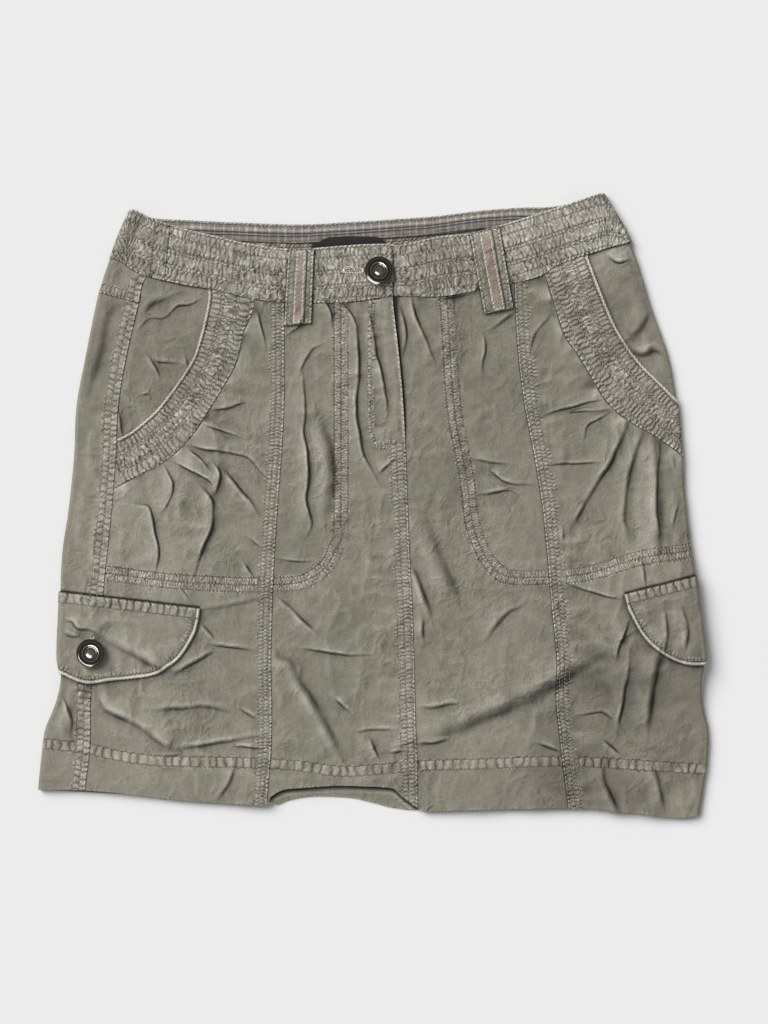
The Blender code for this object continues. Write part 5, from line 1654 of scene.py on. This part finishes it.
cut("pocket_bag_right", [TO_WAIST, ROUND_RIGHT, (BAG_LINE_R, "plain")], BAG, visible=in_mouth_r)
cut("back_panel", [FROM_SIDE, TO_HEM, ROUND_LEFT, (shift(YOKE, 0, -GAP), "under")], PANEL,
    strips=(side_l, hem), visible=on_top_left, other_shows=in_hem_gap, extra=shaded_back,
    on=None)
cut("back_yoke", [FROM_SIDE, (shift(YOKE, 0, GAP), "over"), ROUND_LEFT, TO_WAIST], PANEL,
    strips=(side_l, yoke), visible=on_top_left, other_shows=in_waist_opening, on=None)
cut("waistband_back", [(shift(WAIST_SEAM, -GAP), "under"), FROM_WAIST, ROUND_LEFT, TO_TOP],
    WAISTBAND, strips=(wrap_row, waist), visible=on_top_left, other_shows=in_waist_opening,
    on=None)
cut("waistband_front_left", [(shift(WAIST_SEAM, GAP), "over"), FROM_WAIST,
                             (shift(CENTRE, -GAP), "free"), (CORNER, "free"), TO_TOP],
    WAISTBAND, strips=(waist,), step=1.0, extra=around_loop(LOOP_L))
cut("waistband_front_right", [(UNDERLAP_END, "plain"), FROM_WAIST, ROUND_RIGHT, TO_TOP],
    [underlap(top, below) for top, below in zip(WAISTBAND, UNDERLAP)], strips=(waist,), step=1.0,
    visible=on_top_right, extra=around_loop(LOOP_R))

for part, flap in FLAPS.items():
    edges = flap_edges(flap)
    (bow, _), (top, _) = edges
    left = flap.side < 0
    cut(part, edges, FLAP, crossing=False, step=1.0,
        strips=(stitched("flap_top", top, flap.side),
                stitched("flap_rim", moved(bow, FLAP_RIM * flap.side), flap.side)),
        visible=on_top_left if left else on_top_right,
        on="side_panel_left" if left else "side_panel_right")

for name, (tl, tr, br, bl) in {"left": LOOP_L, "right": LOOP_R}.items():
    cut(f"belt_loop_{name}", straight_edges((tl, tr, br, bl), "over"), LOOP, crossing=False,
        strips=(stitched("loop", (tl, bl), 1), stitched("loop", (tr, br), -1)),
        on=f"waistband_front_{name}", step=FINE)
    tape = [mix(a, b, TAPE_MARGIN) for a, b in ((tl, tr), (tr, tl), (br, bl), (bl, br))]
    cut(f"loop_tape_{name}", straight_edges(tape, "taped"), TAPE_LEVEL, TAPE, "tape",
        crossing=False, on=f"belt_loop_{name}", step=FINE, crumple=1.5,
        strips=(stitched("tape", (tape[0], tape[3]), 1), stitched("tape", (tape[1], tape[2]), -1)))

# Inside the waist: the check facing, the labels on it, and what lies behind the fly.
FACING_TOP, FACING_DEPTH = 1.5, 13.5
FACING_X = np.linspace(-182, 155, 300)
upper, lower = (np.column_stack([unroll(FACING_X, top_back(FACING_X) - d), top_back(FACING_X) - d])
                for d in (FACING_TOP, FACING_TOP + FACING_DEPTH))
cut("waistband_facing", [(upper, "plain"), (np.array((upper[-1], lower[-1])), "plain"),
                         (lower[::-1], "under"), (np.array((lower[0], upper[0])), "plain")],
    FACING, CHECK, "check", crossing=False, on="waistband_back", seen="inner", step=1.2,
    extra=woven_across, strips=(stitched("facing", TOP_EDGE, -1),))
LABEL_MAIN = ((-43.5, 207.5), (-42, 211.5), (-36, 214), (-20, 215), (0, 214.5), (6, 213.6),
              (8.5, 211.5), (8.5, 196), (-42.5, 196))
LABEL_SIZE = ((-49, 209.0), (-47.5, 210.5), (-33, 210.5), (-33, 197), (-49, 197))
for part, corners, levels in (("label_main", LABEL_MAIN, (-3.3, -4.3)),
                              ("label_size", LABEL_SIZE, FACING)):
    turned = [(float(unroll(x, y)), y) for x, y in corners]
    cut(part, straight_edges(turned, "plain"), levels, LABEL, "label", crossing=False,
        on="waistband_facing", seen="inner", step=1.2)

for part, left, right, low, levels, material, slot in (
        ("zip", -8.0, 12.0, FLY_BOTTOM, (-1.5, -2.5), ZIP, "zip"),
        ("fly_underlap", -8.0, 26.0, 44.0, (-2.8, -3.8), CLOTH, "cloth")):
    corners = [(float(seam("centre")(y)) + dx, y)
               for y, dx in ((FLY_TOP, left), (FLY_TOP, right), (low, right), (low, left))]
    cut(part, straight_edges(corners, "plain"), levels, material, slot, crossing=False, step=3.0)

PIECES = {part: piece for piece, part, *_ in DRESS}


# ---------------------------------------------------------------- buttons and their threads
def circle(turns):
    """Points of a circle with a radius of one."""
    angles = np.linspace(0, math.tau, turns, endpoint=False)
    return np.column_stack([np.cos(angles), np.sin(angles)])


def buttonhole(piece):
    """Satin stitches round a slot."""
    ring = circle(46)
    half_slot = (BUTTONHOLE_LENGTH - BUTTONHOLE_WIDTH) / 2
    slot = np.clip(ring[:, 0] * 1.3, -1, 1) * half_slot
    middle = np.array(BUTTONHOLE) + np.column_stack([slot, 0 * slot])
    out = ring * BUTTONHOLE_WIDTH
    return threads(f"{piece.name}_buttonhole", piece.surface(middle + out * 0.22, 0.5),
                   piece.surface(middle + out * 0.5, 0.4), 0.32, THREADS["cream"])


def loose_threads(piece, corners):
    """A few thread ends through the corners."""
    ends = piece.surface(np.array(corners, float), 1.2)
    return threads(f"{piece.name}_thread", ends[:-1], ends[1:], 0.4, THREADS["cream"])


for piece, part, material, slot, on in DRESS:
    made = piece.build(material, slot)
    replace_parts(made, part)
    stitches = sew(piece)
    if part == "waistband_front_left":
        stitches.append(buttonhole(piece))
    if part in LOOSE_THREADS:
        stitches.append(loose_threads(piece, LOOSE_THREADS[part]))

# The button's turned section: radius and height as shares of its radius, and how bare of
# its dark finish the metal is there.
PROFILE = ((0.0, 0.0, 0.0), (0.95, 0.0, 0.0), (1.0, 0.04, 0.0), (1.02, 0.11, 0.1),
           (1.015, 0.17, 0.5), (1.0, 0.197, 0.3), (0.98, 0.211, 0.1), (0.92, 0.248, 0.0),
           (0.87, 0.279, 0.1), (0.845, 0.292, 0.3), (0.815, 0.295, 0.1), (0.76, 0.286, 0.0),
           (0.66, 0.272, 0.0), (0.60, 0.275, 0.2), (0.575, 0.27, 0.7), (0.555, 0.26, 0.3),
           (0.50, 0.232, 0.0), (0.48, 0.215, 0.0), (0.455, 0.16, 0.1), (0.42, 0.145, 0.4),
           (0.34, 0.14, 0.2), (0.31, 0.155, 0.0), (0.285, 0.17, 0.3), (0.20, 0.212, 0.6),
           (0.17, 0.222, 0.3), (0.08, 0.232, 0.4), (0.0, 0.235, 0.5))
TURNS = 72
FACE_DOWN = 0.305   # height of the back of a button that lies on its face, as such a share


def button(name, middle, seat, facing):
    """A dished metal button; facing is 1 upward and -1 downward."""
    rings, bare = [], []
    for radius, height, scuffed in PROFILE:
        ring = np.array(middle) + max(radius * BUTTON_RADIUS, 0.02) * circle(TURNS)
        level = seat + facing * height * BUTTON_RADIUS
        rings.append(np.column_stack([ring, np.full(TURNS, level)]))
        bare += [scuffed] * TURNS
    faces = [face[::facing] for face in ring_faces(len(PROFILE), TURNS)]
    mesh = smooth_mesh(name, np.vstack(rings) * MM, faces)
    mesh.attributes.new("bare", "FLOAT", "POINT").data.foreach_set("value", bare)
    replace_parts(dressed(f"{name}_metal", mesh, METAL), name)


def seat_on(piece, middle):
    """The height that a button at that place rests at, sunk in a little."""
    q = np.vstack([np.array(middle) + radius * circle(23) for radius in (0.3, 5.0, 8.0, 11.0)])
    return float(piece.surface(q, 0.0)[:, 2].max()) / MM - 0.3


button("waist_button", WAIST_BUTTON, seat_on(PIECES["waistband_front_left"], WAIST_BUTTON), 1)
button("flap_button_left", FLAP_BUTTON_LEFT, seat_on(PIECES["flap_left"], FLAP_BUTTON_LEFT), 1)
button("flap_button_right", FLAP_BUTTON_RIGHT, FACE_DOWN * BUTTON_RADIUS, -1)

# ---------------------------------------------------------------- floor, light, camera
FLOOR_HALF, FLOOR_LEVEL = 12.0, -0.0002
corners = np.array([(-1, -1, 0), (1, -1, 0), (1, 1, 0), (-1, 1, 0)]) * FLOOR_HALF
mesh = smooth_mesh("floor", corners, [(0, 1, 2, 3)])
floor_material, _, floor_surface, _ = shader("pale_floor", 0.9, specular=0.05)
floor_surface.inputs["Base Color"].default_value = (0.80, 0.80, 0.80, 1.0)
mesh.materials.append(floor_material)
floor = added("floor", mesh)
floor.location.z = FLOOR_LEVEL

# The sun's strength and its width in radians, the card's power and the sky's strength.
KEY_ENERGY, KEY_ANGLE, CARD_POWER, SKY = 3.5, 0.7, 94.0, 0.33
SUN_FROM, CARD_PLACE = (-0.72, 0.60, 0.80), (-1.10, -1.40, 1.29)


def lamp(name, kind, energy, direction, **settings):
    """A lamp that shines from a direction."""
    light = bpy.data.lights.new(name, kind)
    light.energy = energy
    for key, value in settings.items():
        setattr(light, key, value)
    thing = added(name, light)
    thing.rotation_euler = Vector(direction).to_track_quat("Z", "Y").to_euler()
    return thing


sun = lamp("key", "SUN", KEY_ENERGY, SUN_FROM, angle=KEY_ANGLE)
sun.visible_glossy = False
card = lamp("card", "AREA", CARD_POWER, CARD_PLACE, shape="RECTANGLE", size=2.4, size_y=1.1)
card.location = CARD_PLACE
card.visible_diffuse = False
world = bpy.data.worlds.new("soft")
world.use_nodes = True
world.node_tree.nodes["Background"].inputs["Color"].default_value = (1.0, 1.0, 1.0, 1.0)
world.node_tree.nodes["Background"].inputs["Strength"].default_value = SKY
bpy.context.scene.world = world
bpy.context.scene.view_settings.view_transform = "Standard"

# The camera looks straight down at a point of the skirt, and frames this height.
FRAME_HEIGHT = 0.8192
LENS, SENSOR = 85.0, 36.0
LOOKS_AT = Vector((0.0084, -0.0060, 0.007))
camera_data = bpy.data.cameras.new("camera")
camera_data.lens = LENS
camera_data.sensor_width = SENSOR
camera = added("camera", camera_data)
camera.location = LOOKS_AT + Vector((0, 0, FRAME_HEIGHT * LENS / SENSOR))
bpy.context.scene.camera = camera
